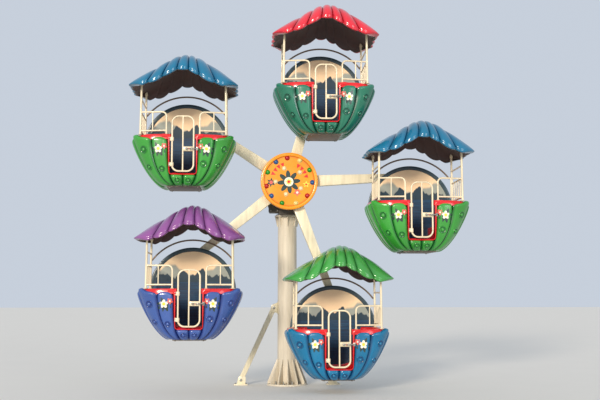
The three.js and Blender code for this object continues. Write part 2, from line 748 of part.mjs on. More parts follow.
function makeLiner() {
  const outside = toSolid(tub(SHELL_WALL + GAP, SHELL_WALL + GAP, RIM_FLANGE_TOP_Z - JOIN));
  const hollow = toSolid(
    tub(RIM_FLANGE_WIDTH, SHELL_WALL + LINER_WALL, RIM_FLANGE_TOP_Z + OVERSHOOT),
  );
  const seated = toSolid(slab(SEAT_TOP_Z, 0));
  const footwell = toSolid(
    box(
      [-FOOTWELL_HALF_WIDTH, CABIN_Y - CUT_REACH, -CUT_REACH],
      [FOOTWELL_HALF_WIDTH, CABIN_Y + CUT_REACH, 0],
    ),
  );
  const flange = new THREE.ExtrudeGeometry(new THREE.Shape(rimOutline()), {
    depth: RIM_FLANGE_TOP_Z - RIM_Z - GAP,
    bevelEnabled: false,
  }).translate(0, 0, RIM_Z + GAP);
  const shell = outside
    .add(toSolid(flange))
    .subtract(hollow.intersect(seated.add(footwell)))
    .subtract(toSolid(doorwayCut(0, 0)))
    .add(toSolid(doorLips()));
  const holeRadius = DOOR_TUBE_RADIUS + HINGE_CLEARANCE;
  const holeHeight = RIM_FLANGE_TOP_Z - SILL_Z;
  const pinHole = new THREE.CylinderGeometry(holeRadius, holeRadius, holeHeight, HINGE_HOLE_SIDES)
    .rotateX(Math.PI / 2)
    .translate(-DOOR_HALF_WIDTH, CABIN_Y + DOOR_PLANE, (RIM_FLANGE_TOP_Z + SILL_Z) / 2);
  return toGeometry(
    HINGE_Z.map((z) => toSolid(hingeBlock(z)))
      .reduce((whole, block) => whole.add(block), shell)
      .subtract(toSolid(pinHole)),
  );
}

const postXAt = (z) =>
  lerp(POST_FOOT_X, POST_TOP_X, (z - RIM_FLANGE_TOP_Z) / (POST_TOP_Z - RIM_FLANGE_TOP_Z));

// How far the canopy's surface lies below its peak, on the spine and along its edge.
function spineDrop(x) {
  const length = CANOPY_TIP_X + (x < CANOPY_PEAK_X ? CANOPY_PEAK_X : -CANOPY_PEAK_X);
  return SPINE_DROP * (Math.abs(x - CANOPY_PEAK_X) / length) ** SPINE_DROP_POWER;
}

function edgeDrop(x) {
  return EDGE_DROP + EDGE_FALL * (1 - Math.exp(-((x / EDGE_FALL_REACH) ** 2)));
}

function canopyHalfDepth(x) {
  const share = Math.abs(x / CANOPY_HALF_LENGTH);
  return CANOPY_HALF_DEPTH * (1 - share ** CANOPY_SQUARENESS) ** (1 / CANOPY_SQUARENESS);
}

// A point of the canopy's outer surface. Along counts lobes from the left tip, with a half in a
// lobe's middle, and across runs from -1 at the front edge over 0 on the spine to 1 at the back.
function canopyPoint(along, across, inset) {
  const lobe = Math.min(Math.floor(along), LOBE_SPINE_X.length - 2);
  const within = along - lobe;
  const spineX = lerp(LOBE_SPINE_X[lobe], LOBE_SPINE_X[lobe + 1], within);
  const edgeX = lerp(LOBE_EDGE_X[lobe], LOBE_EDGE_X[lobe + 1], within);
  const out = Math.abs(across);
  const x = lerp(spineX, edgeX, out) * (1 - inset / CANOPY_TIP_X);
  const steepest = radians(CANOPY_STEEPEST);
  const rise = (1 - Math.cos(out * steepest)) / (1 - Math.cos(steepest));
  const reach = Math.sin(out * steepest) / Math.sin(steepest);
  const fullness = Math.sin(Math.PI * lerp(PUFF_START, 0.5, out));
  const puff = CANOPY_PUFF * Math.sin(Math.PI * within) * fullness;
  const drop = lerp(spineDrop(spineX), edgeDrop(edgeX), rise);
  const sag = puff * out * PUFF_SAG;
  return [
    x,
    CANOPY_Y + Math.sign(across) * reach * (canopyHalfDepth(edgeX) + puff * out - inset),
    CANOPY_PEAK_Z - drop + puff * (1 - out) - sag - inset * (1 - out),
  ];
}

// The canopy's two surfaces, or the space from its underside up to a height.
function canopySolid(upper, lower) {
  const lobes = LOBE_SPINE_X.length - 1;
  const steps = lobes * CANOPY_STEPS_PER_LOBE;
  const blank = new THREE.BoxGeometry(1, 1, 1, steps, CANOPY_STEPS_ACROSS, 1);
  return toSolid(
    reshaped(blank, ({ x, y, z }) => {
      const along = (x + 0.5) * lobes;
      return z > 0 ? upper(along, y * 2) : lower(along, y * 2);
    }),
  );
}

function makeCanopy() {
  return toGeometry(
    canopySolid(
      (along, across) => canopyPoint(along, across, 0),
      (along, across) => canopyPoint(along, across, CANOPY_WALL),
    ),
  );
}

// The room that the canopy takes above the posts.
function canopyRoom() {
  return canopySolid(
    (along, across) => {
      const [x, y] = canopyPoint(along, across, CANOPY_WALL);
      return [x, y, CANOPY_PEAK_Z + OVERSHOOT];
    },
    (along, across) => {
      const [x, y, z] = canopyPoint(along, across, CANOPY_WALL);
      return [x, y, z - 2 * GAP];
    },
  );
}

function makeFrame() {
  const footZ = RIM_FLANGE_TOP_Z + GAP;
  const frontY = CABIN_Y + POST_FRONT;
  const backY = CABIN_Y + POST_BACK;
  const archY = CABIN_Y + ARCH_DEPTH;
  const archRise = Math.sqrt(ARCH_RADIUS ** 2 - ARCH_END_X ** 2);
  const archEndZ = archRise - PANEL_DROP;
  const endY = CABIN_Y + RAIL_END_DEPTH;
  const bar = (start, end) => tube([start, end], TUBE_RADIUS, RAIL_SIDES);
  const tubes = [];
  for (const side of [-1, 1]) {
    const postX = (z) => side * postXAt(z);
    const railEndX = side * RAIL_END_X;
    for (const y of [frontY, backY]) {
      const low = [postX(footZ - OVERSHOOT), y, footZ - OVERSHOOT];
      const high = [postX(POST_UNCUT_Z), y, POST_UNCUT_Z];
      tubes.push(tube([low, high], TUBE_RADIUS, POST_SIDES));
    }
    for (const z of [RAIL_TOP_Z, RAIL_MID_Z, SIDE_BAR_Z]) {
      tubes.push(bar([postX(z), frontY, z], [postX(z), backY, z]));
    }
    const archEndX = side * ARCH_END_X;
    tubes.push(bar([archEndX, backY, archEndZ], [archEndX, archY + JOIN, archEndZ]));
    tubes.push(
      bar([postX(RAIL_MID_Z), frontY, RAIL_MID_Z], [railEndX, endY, RAIL_MID_Z]),
      tube(
        [
          [postX(RAIL_TOP_Z), frontY, RAIL_TOP_Z],
          [railEndX, endY, RAIL_TOP_Z],
          [railEndX, endY, footZ - OVERSHOOT],
        ],
        TUBE_RADIUS,
        RAIL_SIDES,
        RAIL_CORNER_RADIUS,
      ),
    );
  }
  const arch = [];
  const archEnd = Math.atan2(archRise, ARCH_END_X);
  for (let i = 0; i <= ARCH_STEPS; i += 1) {
    const turn = lerp(Math.PI - archEnd, archEnd, i / ARCH_STEPS);
    arch.push([ARCH_RADIUS * Math.cos(turn), archY, ARCH_RADIUS * Math.sin(turn) - PANEL_DROP]);
  }
  tubes.push(tube(arch, ARCH_TUBE_RADIUS, RAIL_SIDES));
  const belowFeet = slab(footZ - 2 * OVERSHOOT, footZ);
  return toGeometry(joined(...tubes).subtract(toSolid(belowFeet)).subtract(canopyRoom()));
}

// The door: a hoop of tube with a middle bar and a slide bolt on a plate.
function makeDoor() {
  const y = CABIN_Y + DOOR_PLANE;
  const hoopHalf = (side) =>
    tube(
      [
        [-side * JOIN, y, DOOR_BOTTOM_Z],
        [side * DOOR_HALF_WIDTH, y, DOOR_BOTTOM_Z],
        [side * DOOR_HALF_WIDTH, y, DOOR_TOP_Z],
        [-side * JOIN, y, DOOR_TOP_Z],
      ],
      DOOR_TUBE_RADIUS,
      DOOR_TUBE_SIDES,
      DOOR_CORNER_RADIUS,
    );
  const middleBar = tube(
    [
      [0, y, DOOR_BOTTOM_Z],
      [0, y, DOOR_TOP_Z],
    ],
    DOOR_BAR_RADIUS,
    RAIL_SIDES,
  );
  const latchFront = CABIN_Y + LIP_FRONT - LATCH_STANDOFF;
  const latchPlate = box(
    [LATCH_PLATE.left, latchFront, LATCH_Z - LATCH_PLATE.halfHeight],
    [DOOR_HALF_WIDTH, y - LATCH_PLATE.back, LATCH_Z + LATCH_PLATE.halfHeight],
  );
  const bolt = box(
    [LATCH_BOLT.left, latchFront - LATCH_BOLT.thickness, LATCH_Z - LATCH_BOLT.halfHeight],
    [DOORWAY_HALF_WIDTH + LATCH_BOLT.reach, latchFront + 1, LATCH_Z + LATCH_BOLT.halfHeight],
  );
  return toGeometry(joined(hoopHalf(-1), hoopHalf(1), middleBar, latchPlate, bolt));
}

function mesh(name, geometry, color, roughness, metalness = 0) {
  const made = new THREE.Mesh(
    geometry,
    new THREE.MeshStandardMaterial({ color, roughness, metalness, flatShading: true }),
  );
  made.name = name;
  return made;
}

const ferrisWheel = new THREE.Group();
ferrisWheel.add(
  mesh("column", makeColumn(), COLUMN_GREY, 0.5),
  mesh("base_flange", makeBaseFlange(), COLUMN_GREY, 0.5),
  mesh("column_head", makeColumnHead(), COLUMN_GREY, 0.5),
  mesh("drive_unit", makeDriveUnit(), DARK_STEEL, 0.6),
  mesh("left_brace", makeBrace(-1), CREAM, 0.5),
  mesh("right_brace", makeBrace(1), CREAM, 0.5),
);

// Everything that turns, with the hub's axis through the group's origin.
const wheel = new THREE.Group();
wheel.position.z = HUB_HEIGHT;
wheel.add(
  mesh("hub", makeHub(), DARK_STEEL, 0.6),
  mesh("hub_cover", makeHubCover(), ORANGE, 0.35),
);
const armGeometry = makeArm();
const bowlGeometry = makeBowl();
const linerGeometry = makeLiner();
const panelGeometry = makeBackPanel();
const frameGeometry = makeFrame();
const canopyGeometry = makeCanopy();
const doorGeometry = makeDoor();
STATIONS.forEach(({ angle, canopy, bowl }, i) => {
  const number = i + 1;
  const arm = mesh(`arm_${number}`, armGeometry, CREAM, 0.45);
  arm.rotation.y = -radians(angle);
  const cabin = new THREE.Group();
  cabin.position.set(
    PIVOT_RADIUS * Math.cos(radians(angle)),
    0,
    PIVOT_RADIUS * Math.sin(radians(angle)),
  );
  cabin.add(
    mesh(`back_panel_${number}`, panelGeometry, DARK_SLATE, 0.5),
    mesh(`bowl_${number}`, bowlGeometry, bowl, 0.3),
    mesh(`liner_${number}`, linerGeometry, RED, 0.3),
    mesh(`frame_${number}`, frameGeometry, CREAM, 0.4),
    mesh(`canopy_${number}`, canopyGeometry, canopy, 0.25),
    mesh(`door_${number}`, doorGeometry, CREAM, 0.35),
  );
  wheel.add(arm, cabin);
});
ferrisWheel.add(wheel);

export default ferrisWheel;
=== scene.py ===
# A small kids' ferris wheel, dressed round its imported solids: one column, a hub with five arms,
# and five petal-shaped cabins that stay level. Metres, +Z up, the cabins' doors face -Y.
import json
import math

import bmesh
import bpy
import numpy as np
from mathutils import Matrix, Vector


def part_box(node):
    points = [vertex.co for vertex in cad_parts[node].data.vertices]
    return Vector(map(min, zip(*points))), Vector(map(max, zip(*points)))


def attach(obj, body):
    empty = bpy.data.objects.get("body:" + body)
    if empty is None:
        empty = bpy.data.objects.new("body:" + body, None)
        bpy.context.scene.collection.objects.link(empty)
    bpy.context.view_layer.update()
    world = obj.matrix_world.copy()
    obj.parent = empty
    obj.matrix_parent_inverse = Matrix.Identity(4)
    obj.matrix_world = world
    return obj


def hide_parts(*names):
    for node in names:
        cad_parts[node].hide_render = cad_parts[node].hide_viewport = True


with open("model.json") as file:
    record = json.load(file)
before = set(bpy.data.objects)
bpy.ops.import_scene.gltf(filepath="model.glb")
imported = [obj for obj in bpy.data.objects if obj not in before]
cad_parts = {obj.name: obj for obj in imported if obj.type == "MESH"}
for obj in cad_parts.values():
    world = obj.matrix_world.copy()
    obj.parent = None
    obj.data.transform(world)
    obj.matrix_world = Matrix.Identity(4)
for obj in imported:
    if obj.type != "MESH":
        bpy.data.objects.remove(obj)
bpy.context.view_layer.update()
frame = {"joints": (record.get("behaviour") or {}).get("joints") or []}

# Places that the frame gives
JOINTS = {joint["name"]: joint for joint in frame["joints"]}
HUB_HEIGHT = JOINTS["wheel_spin"]["pos_m"][2]
CABINS = (1, 2, 3, 4, 5)
PIVOTS = {k: Vector(JOINTS[f"cabin_{k}_pivot"]["pos_m"]) for k in CABINS}
PIVOT_RADIUS = math.hypot(PIVOTS[1].x, PIVOTS[1].z - HUB_HEIGHT)
BACK_REACH = 0.388
CABIN_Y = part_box("bowl_1")[1].y - BACK_REACH
GAP = 0.0003

# Column, its flange and its head
COLUMN_FOOT_RADIUS = 0.122
COLUMN_TOP_RADIUS = 0.118
FLANGE_RADIUS = 0.252
FLANGE_THICKNESS = 0.020
PLATE_EDGE = 0.002
BASE_GUSSETS = 12
BASE_GUSSET_HEIGHT = 0.300
GUSSET_THICKNESS = 0.012
GUSSET_SEAT = 0.004
GUSSET_MARGIN = 0.008
ANCHOR_CIRCLE = 0.205
HEAD_PLATE_Z = HUB_HEIGHT - 0.405
HEAD_PLATE_RADIUS = 0.160
HEAD_PLATE_TOP = HEAD_PLATE_Z + 0.020
HEAD_GUSSETS = 8
HEAD_GUSSET_HEIGHT = 0.120
HOUSING_HALF_WIDTH = 0.110
HOUSING_FRONT_Y = -0.238
HOUSING_BACK_Y = 0.176

# Drive unit
GEARBOX_BACK_Y = -0.020
GEARBOX_RIBS = 4
MOTOR_X = -0.178
MOTOR_Z = HUB_HEIGHT - 0.255
MOTOR_RADIUS = 0.060
MOTOR_CORE_RADIUS = 0.052
MOTOR_FINS = 26

# Braces
BRACE_TUBE = 0.062
BRACE_FOOT = (-0.577, 0.062)
BRACE_TOP = (-0.168, 0.955)
BRACE_OVERRUN = 0.020
FORK_THICKNESS = 0.010
FOOT_PLATE = (0.085, 0.065, 0.014)
SADDLE_TURN = 0.42
SADDLE_HALF_HEIGHT = 0.075
SADDLE_THICKNESS = 0.010

# Hub, arms and cover disc
ARM_FRONT_Y = -0.425
ARM_BACK_Y = -0.325
ARM_ROOT_WIDTH = 0.142
ARM_TIP_WIDTH = 0.084
ARM_SEAM_SHARE = 0.32
HUB_FLAT_RADIUS = 0.170
HUB_FLANGE_RADIUS = 0.195
HUB_NECK_RADIUS = 0.105
SHAFT_RADIUS = 0.050
COVER_RADIUS = 0.350
COVER_BACK_Y = -0.440
COVER_FACE_Y = -0.500
COVER_RIM_WIDTH = 0.044
COVER_RIM_HEIGHT = 0.016
COVER_DOME = 0.006
BARREL_RADIUS = 0.060
BARREL_BORE = 0.031
BARREL_FRONT_Y = -0.432
BARREL_BACK_Y = -0.262

# Back panel
PANEL_RADIUS = 0.520
PANEL_DROP = 0.400
PANEL_RING_WIDTH = 0.050
PANEL_RING_HEIGHT = 0.008
PANEL_FRONT_Y = -0.510
PANEL_BACK_Y = -0.480
PANEL_RECESS = 0.006
PANEL_BOLT_CIRCLE = 0.495
SPINE_WIDTH = 0.110
SPINE_BACK_Y = -0.455
SPINE_TOP_Z = 0.070
SPINE_BOTTOM_Z = -0.760
BEAM_HALF_LENGTH = 0.360
BEAM_Z = -0.620
BEAM_HALF_HEIGHT = 0.035
BOARD_FOOT_Z = -0.915

# Cabin shell, in heights from the shaft. Each curve runs from the rim to the bottom.
RIM_Z = -0.405
BOTTOM_Z = -0.950
HEIGHT_CURVE = (RIM_Z, -0.634, BOTTOM_Z, BOTTOM_Z)
WIDTH_CURVE = (0.608, 0.525, 0.350, 0.200)
FRONT_CURVE = (0.390, 0.386, 0.370, 0.225)
BACK_CURVE = (0.415, 0.415, 0.400, 0.300)
SQUARENESS = 3.5
RIM_TOP_Z = -0.375
RIM_FLANGE_WIDTH = 0.070
RIM_HEM_Z = RIM_Z - 0.030
SEAT_TOP_Z = -0.650
BENCH_FOOT_Z = -0.900
FOOTWELL_HALF_WIDTH = 0.200
FOOTWELL_FLOOR_Z = -0.890
BASE_PLATE_X = 0.190
BASE_PLATE_Y = 0.215
BASE_PLATE_THICKNESS = 0.012

# Petals: the grooves between them, their crowns, and the welt that runs beside each groove
GROOVE_DEPTH = 0.018
GROOVE_SHADE = 0.026
CROWN_HEIGHT = 0.009
CROWN_FULLNESS = 0.62
WELT_HEIGHT = 0.0045
WELT_INSET = 0.030
WELT_WIDTH = 0.013
PETAL_TOP_Z = RIM_Z - 0.002
PETAL_TOP_ROUNDING = 0.034
TUCK_REACH = 0.12
FLARE_REACH = 0.14
HEM_DEPTH = 0.022

# Doorway and door
DOORWAY_HALF_WIDTH = 0.150
SILL_Z = -0.824
SILL_TOP_Z = SILL_Z - 0.012
LIP_FRONT = -0.392
LIP_STAND = 0.002
LIP_CORNER = 0.050
LIP_DROP = 0.036
LIP_END = 0.235
LIP_LOW_WIDTH = 0.010
LIP_HIGH_WIDTH = 0.020
LIP_SHOULDER = 0.020
LIP_FOOT = 0.024
DOOR_PLANE = -0.366
DOOR_TUBE_RADIUS = 0.0100
DOOR_BAR_RADIUS = 0.0085
DOOR_HALF_WIDTH = 0.122
DOOR_TOP_Z = -0.167
DOOR_BOTTOM_Z = -0.799
DOOR_CORNER = 0.075
LATCH_Z = -0.544
LATCH_HALF_HEIGHT = 0.020
LATCH_PLATE_FRONT = DOOR_PLANE - 0.020
LATCH_BOLT_Y = LIP_FRONT - 0.013
HINGE_Z = (-0.432, -0.723)
HINGE_HALF_HEIGHT = 0.022

# Cabin frame
TUBE_SIDES = 16
POST_RADIUS = 0.0125
RAIL_RADIUS = 0.0098
PICKET_RADIUS = 0.0072
ARCH_TUBE_RADIUS = 0.0100
POST_FOOT_X = 0.488
POST_TOP_X = 0.480
POST_TOP_Z = 0.300
POST_FRONT = -0.305
POST_BACK = 0.225
RAIL_TOP_Z = -0.115
RAIL_MID_Z = -0.331
SIDE_BAR_Z = 0.035
RAIL_END_X = 0.190
RAIL_END_DEPTH = -0.350
RAIL_CORNER = 0.062
FRONT_PICKET_X = 0.348
SIDE_PICKETS = 4
ARCH_RADIUS = 0.608
ARCH_DEPTH = 0.380
ARCH_END_X = 0.484

# Canopy: a spine from tip to tip, seven lobes on each side of it, and an edge that falls to the tips
CANOPY_SHIFT = -0.095
CANOPY_PEAK_Z = 0.565
CANOPY_PEAK_X = 0.040
CANOPY_TIP_X = 0.590
SPINE_DROP = 0.340
SPINE_POWER = 1.5
SHOULDER_DROP_LEFT = 0.036
SHOULDER_DROP_RIGHT = 0.018
SHOULDER_START = 0.06
SHOULDER_END = 0.30
EDGE_DROP = 0.217
EDGE_FALL = 0.178
EDGE_FALL_REACH = 0.260
CANOPY_HALF_LENGTH = 0.635
CANOPY_HALF_DEPTH = 0.455
CANOPY_SQUARENESS = 4
CANOPY_THICKNESS = 0.022
CANOPY_SLOPE = math.radians(78)
LOBE_SPINE_X = np.array([-0.590, -0.230, -0.108, -0.022, 0.052, 0.118, 0.205, 0.590])
LOBE_EDGE_X = np.array([-0.604, -0.392, -0.228, -0.063, 0.065, 0.182, 0.368, 0.604])
LOBES = len(LOBE_SPINE_X) - 1
LOBE_PUFF = 0.038
LINING_PUFF = 0.25 * LOBE_PUFF
LOBE_SQUARENESS = 2.2
LOBE_FULLNESS = 0.62
OUTER_LOBE_SPREAD = 0.62
SCALLOP = 0.040
SCALLOP_LEVEL = 0.62
TIP_NOTCH = 0.036
TIP_CUT = 0.060


def lerp(a, b, t):
    return a + (b - a) * t


def bezier(curve, t):
    a, b, c, d = curve
    s = 1 - t
    return s**3 * a + 3 * s * s * t * b + 3 * s * t * t * c + t**3 * d


def smoothstep(low, high, value):
    t = np.clip((value - low) / (high - low), 0, 1)
    return t * t * (3 - 2 * t)


def around(count, offset=0.0):
    """The angles that divide a full turn, moved on by a share of one step."""
    return (np.arange(count) + offset) / count * 2 * math.pi


def polar(x, z, radius, turn):
    return x + radius * math.cos(turn), z + radius * math.sin(turn)


def arc(x, z, radius, first, last, count=8):
    """Points from one angle to another, in degrees, about a centre."""
    return [polar(x, z, radius, turn) for turn in np.radians(np.linspace(first, last, count))]


def spin(axis, angle):
    """The 3 x 3 matrix of a turn about Z or Y."""
    c, s = math.cos(angle), math.sin(angle)
    if axis == "Z":
        return np.array([(c, -s, 0), (s, c, 0), (0, 0, 1)])
    return np.array([(c, 0, s), (0, 1, 0), (-s, 0, c)])


class Shape:
    """Vertices, faces, each face's material number and each vertex's share of groove colour, which is
    painted shade.
    """

    def __init__(self):
        self.points = []
        self.faces = []
        self.kinds = []
        self.grooves = []
        self.count = 0

    def add(self, points, faces, kind=0, groove=0.0):
        points = np.asarray(points, float).reshape(-1, 3)
        self.points.append(points)
        self.faces.extend(tuple(int(i) + self.count for i in face) for face in faces)
        self.kinds.extend([kind] * len(faces))
        self.grooves.append(np.broadcast_to(np.asarray(groove, float).ravel(), (len(points),)))
        self.count += len(points)
        return self

    def merge(self, other, turn, shift=(0, 0, 0)):
        """Adds another shape, turned by a 3 x 3 matrix and then shifted."""
        points = np.concatenate(other.points) @ turn.T
        self.points.append(points + np.array(shift))
        self.faces.extend(tuple(i + self.count for i in face) for face in other.faces)
        self.kinds.extend(other.kinds)
        self.grooves.append(np.concatenate(other.grooves))
        self.count += len(points)
        return self

    def sheet(self, points, kind=0, groove=0.0, round_rows=False, round_columns=False):
        """A grid of points, as quads."""
        rows, columns = points.shape[:2]
        last_row = rows if round_rows else rows - 1
        last_column = columns if round_columns else columns - 1
        i, j = np.meshgrid(np.arange(last_row), np.arange(last_column), indexing="ij")
        here, below = i * columns, (i + 1) % rows * columns
        beside = (j + 1) % columns
        quads = np.stack([here + j, here + beside, below + beside, below + j], -1)
        return self.add(points, quads.reshape(-1, 4), kind, groove)

    def loft(self, sections, kind=0, shade=0.0):
        """Closed rings joined one to the next, with a flat face at each end."""
        sections = np.asarray(sections, float)
        count, size = sections.shape[:2]
        start = self.count
        self.sheet(sections, kind, shade, round_columns=True)
        self.faces.append(tuple(range(start, start + size)))
        self.faces.append(tuple(range(start + (count - 1) * size, start + count * size))[::-1])
        self.kinds.extend([kind, kind])
        return self

    def lathe(self, profile, centre=(0, 0, 0), axis="Y", segments=64, kind=0):
        """A profile of (radius, height) turned about an axis through a centre."""
        profile = np.array(profile, float)
        turn = around(segments)
        radius = profile[:, 0][:, None]
        height = np.broadcast_to(profile[:, 1][:, None], (len(profile), segments))
        across = radius * np.cos(turn)
        up = radius * np.sin(turn)
        order = (across, height, up) if axis == "Y" else (across, up, height)
        return self.sheet(np.stack(order, -1) + np.array(centre), kind, round_columns=True)

    def tube(self, route, radius, sides=TUBE_SIDES, closed=False, side=None, kind=0, rounding=0.2):
        """A round tube along a route. A side that all of it lies square to keeps it from twisting."""
        route = np.array(route, float)
        if closed:
            along = np.roll(route, -1, 0) - np.roll(route, 1, 0)
        else:
            along = np.gradient(route, axis=0)
        along /= np.linalg.norm(along, axis=1)[:, None]
        if side is None:
            side = np.cross(along[0], (0.3, 0.5, 0.8))
        turn = around(sides)
        rings = []
        for place, tangent in zip(route, along):
            side = np.array(side) - tangent * np.dot(side, tangent)
            side /= np.linalg.norm(side)
            up = np.cross(tangent, side)
            rings.append(place + radius * (np.outer(np.cos(turn), side) + np.outer(np.sin(turn), up)))
        rings = np.array(rings)
        if closed:
            return self.sheet(rings, kind, round_rows=True, round_columns=True)
        lip = along * radius * rounding
        first = lerp(rings[0], route[0], rounding) - lip[0]
        last = lerp(rings[-1], route[-1], rounding) + lip[-1]
        return self.loft(np.concatenate([[first], rings, [last]]), kind)

    def block(self, points, faces, bevel, kind=0):
        """A flat-sided solid with rounded edges."""
        solid = bmesh.new()
        made = [solid.verts.new(point) for point in points]
        for face in faces:
            solid.faces.new([made[i] for i in face])
        bmesh.ops.recalc_face_normals(solid, faces=solid.faces)
        bmesh.ops.bevel(
            solid, geom=solid.edges[:], offset=bevel, segments=2, profile=0.5,
            affect="EDGES", clamp_overlap=True,
        )
        solid.verts.index_update()
        points = [tuple(vertex.co) for vertex in solid.verts]
        faces = [[vertex.index for vertex in face.verts] for face in solid.faces]
        solid.free()
        return self.add(points, faces, kind)

    def box(self, low, high, bevel=0.002, kind=0):
        x0, y0, z0 = low
        x1, y1, z1 = high
        points = [(x, y, z) for z in (z0, z1) for x, y in ((x0, y0), (x1, y0), (x1, y1), (x0, y1))]
        faces = [(3, 2, 1, 0), (4, 5, 6, 7), (0, 1, 5, 4), (1, 2, 6, 5), (2, 3, 7, 6), (3, 0, 4, 7)]
        return self.block(points, faces, bevel, kind)

    def plate(self, outline, front, back, bevel=0.002, kind=0):
        """An outline of (x, z) points, as thick as from a front y to a back y."""
        size = len(outline)
        points = [(x, y, z) for y in (front, back) for x, z in outline]
        faces = [tuple(range(size)), tuple(range(2 * size - 1, size - 1, -1))]
        faces += [(i, (i + 1) % size, (i + 1) % size + size, i + size) for i in range(size)]
        return self.block(points, faces, bevel, kind)

    def bolt(self, centre, axis, size, kind=0):
        """A hexagon head on a washer, along +Z, -Z, +Y or -Y."""
        sign = -1 if axis[0] == "-" else 1
        washer = [(0, 0), (1.15, 0), (1.15, 0.16), (1.05, 0.2), (0, 0.2)]
        head = [(0.86, 0.2), (0.86, 0.68), (0.72, 0.8), (0, 0.8)]
        for profile, segments in ((washer, 20), (head, 6)):
            grown = [(radius * size, height * size * sign) for radius, height in profile]
            self.lathe(grown, centre, axis[1], segments, kind)
        return self


def bent(corners, radius, steps=8):
    """A route whose inner corners are rounded. Each curve starts a radius away from its corner."""
    corners = [np.array(corner, float) for corner in corners]
    route = [corners[0]]
    for before, corner, after in zip(corners, corners[1:], corners[2:]):
        start = corner + (before - corner) * radius / np.linalg.norm(before - corner)
        end = corner + (after - corner) * radius / np.linalg.norm(after - corner)
        for i in range(steps + 1):
            t = i / steps
            route.append((1 - t) ** 2 * start + 2 * t * (1 - t) * corner + t * t * end)
    route.append(corners[-1])
    return route


def piece(name, shape, materials, body, nodes=(), shift=(0, 0, 0), smooth=32):
    """Makes the object of a shape, gives it its materials and lets it ride on its body."""
    mesh = bpy.data.meshes.new(name)
    points = np.concatenate(shape.points) + np.array(shift)
    mesh.from_pydata(points.tolist(), [], shape.faces)
    mesh.polygons.foreach_set("material_index", np.array(shape.kinds, np.int32))
    # The groove attribute: each vertex's share of the groove colour, painted shade in grooves and creases
    groove = mesh.attributes.new("groove", "FLOAT", "POINT")
    groove.data.foreach_set("value", np.concatenate(shape.grooves).astype(np.float32))
    for material in materials:
        mesh.materials.append(material)
    tidy = bmesh.new()
    tidy.from_mesh(mesh)
    bmesh.ops.remove_doubles(tidy, verts=tidy.verts, dist=1e-5)
    bmesh.ops.recalc_face_normals(tidy, faces=tidy.faces)
    tidy.to_mesh(mesh)
    tidy.free()
    mesh.shade_smooth()
    mesh.set_sharp_from_angle(angle=math.radians(smooth))
    made = bpy.data.objects.new(name, mesh)
    bpy.context.scene.collection.objects.link(made)
    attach(made, body)
    if nodes:
        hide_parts(*nodes)
    return made


def linear(red, green, blue):
    """A colour given in the 0 to 255 steps of a screen."""
    return tuple((value / 255) ** 2.2 for value in (red, green, blue))


def scaled(color, factor):
    return tuple(min(1.0, channel * factor) for channel in color)


class Finish:
    """A node material around one Principled shader."""

    def __init__(self, name, roughness, metallic=0.0, coat=0.0):
        self.material = bpy.data.materials.new(name)
        self.material.use_nodes = True
        self.nodes = self.material.node_tree.nodes
        self.links = self.material.node_tree.links
        self.shader = self.nodes["Principled BSDF"]
        self.shader.inputs["Roughness"].default_value = roughness
        self.shader.inputs["Metallic"].default_value = metallic
        self.shader.inputs["Coat Weight"].default_value = coat
        self.shader.inputs["Coat Roughness"].default_value = 0.12
        self.place = self.nodes.new("ShaderNodeTexCoord").outputs["Object"]

    def noise(self, scale, detail=3.0, stretch=None):
        noise = self.nodes.new("ShaderNodeTexNoise")
        noise.inputs["Scale"].default_value = scale
        noise.inputs["Detail"].default_value = detail
        source = self.place
        if stretch:
            mapping = self.nodes.new("ShaderNodeMapping")
            mapping.inputs["Scale"].default_value = stretch
            self.links.new(source, mapping.inputs["Vector"])
            source = mapping.outputs["Vector"]
        self.links.new(source, noise.inputs["Vector"])
        return noise.outputs["Fac"]

    def ranged(self, value, low, high, to_low, to_high):
        node = self.nodes.new("ShaderNodeMapRange")
        self.links.new(value, node.inputs["Value"])
        limits = {"From Min": low, "From Max": high, "To Min": to_low, "To Max": to_high}
        for name, limit in limits.items():
            node.inputs[name].default_value = limit
        return node.outputs["Result"]

    def math(self, operation, a, b):
        node = self.nodes.new("ShaderNodeMath")
        node.operation = operation
        for socket, value in zip(node.inputs, (a, b)):
            if isinstance(value, (int, float)):
                socket.default_value = value
            else:
                self.links.new(value, socket)
        return node.outputs[0]

    def mixed(self, factor, a, b):
        node = self.nodes.new("ShaderNodeMix")
        node.data_type = "RGBA"
        self.links.new(factor, node.inputs["Factor"])
        for socket, value in zip((node.inputs[6], node.inputs[7]), (a, b)):
            if isinstance(value, tuple):
                socket.default_value = (*value, 1)
            else:
                self.links.new(value, socket)
        return node.outputs[2]

    def toned(self, value, color, dark, light, low=0.3, high=0.7):
        """The colour times dark where the value is low, and times light where it is high."""
        share = self.ranged(value, low, high, 0, 1)
        return self.mixed(share, scaled(color, dark), scaled(color, light))

    def attribute(self, name):
        node = self.nodes.new("ShaderNodeAttribute")
        node.attribute_name = name
        return node.outputs["Fac"]

    def color(self, value):
        self.links.new(value, self.shader.inputs["Base Color"])

    def roughness(self, value):
        self.links.new(value, self.shader.inputs["Roughness"])

    def bump(self, height, strength, distance):
        node = self.nodes.new("ShaderNodeBump")
        node.inputs["Strength"].default_value = strength
        node.inputs["Distance"].default_value = distance
        self.links.new(height, node.inputs["Height"])
        self.links.new(node.outputs["Normal"], self.shader.inputs["Normal"])


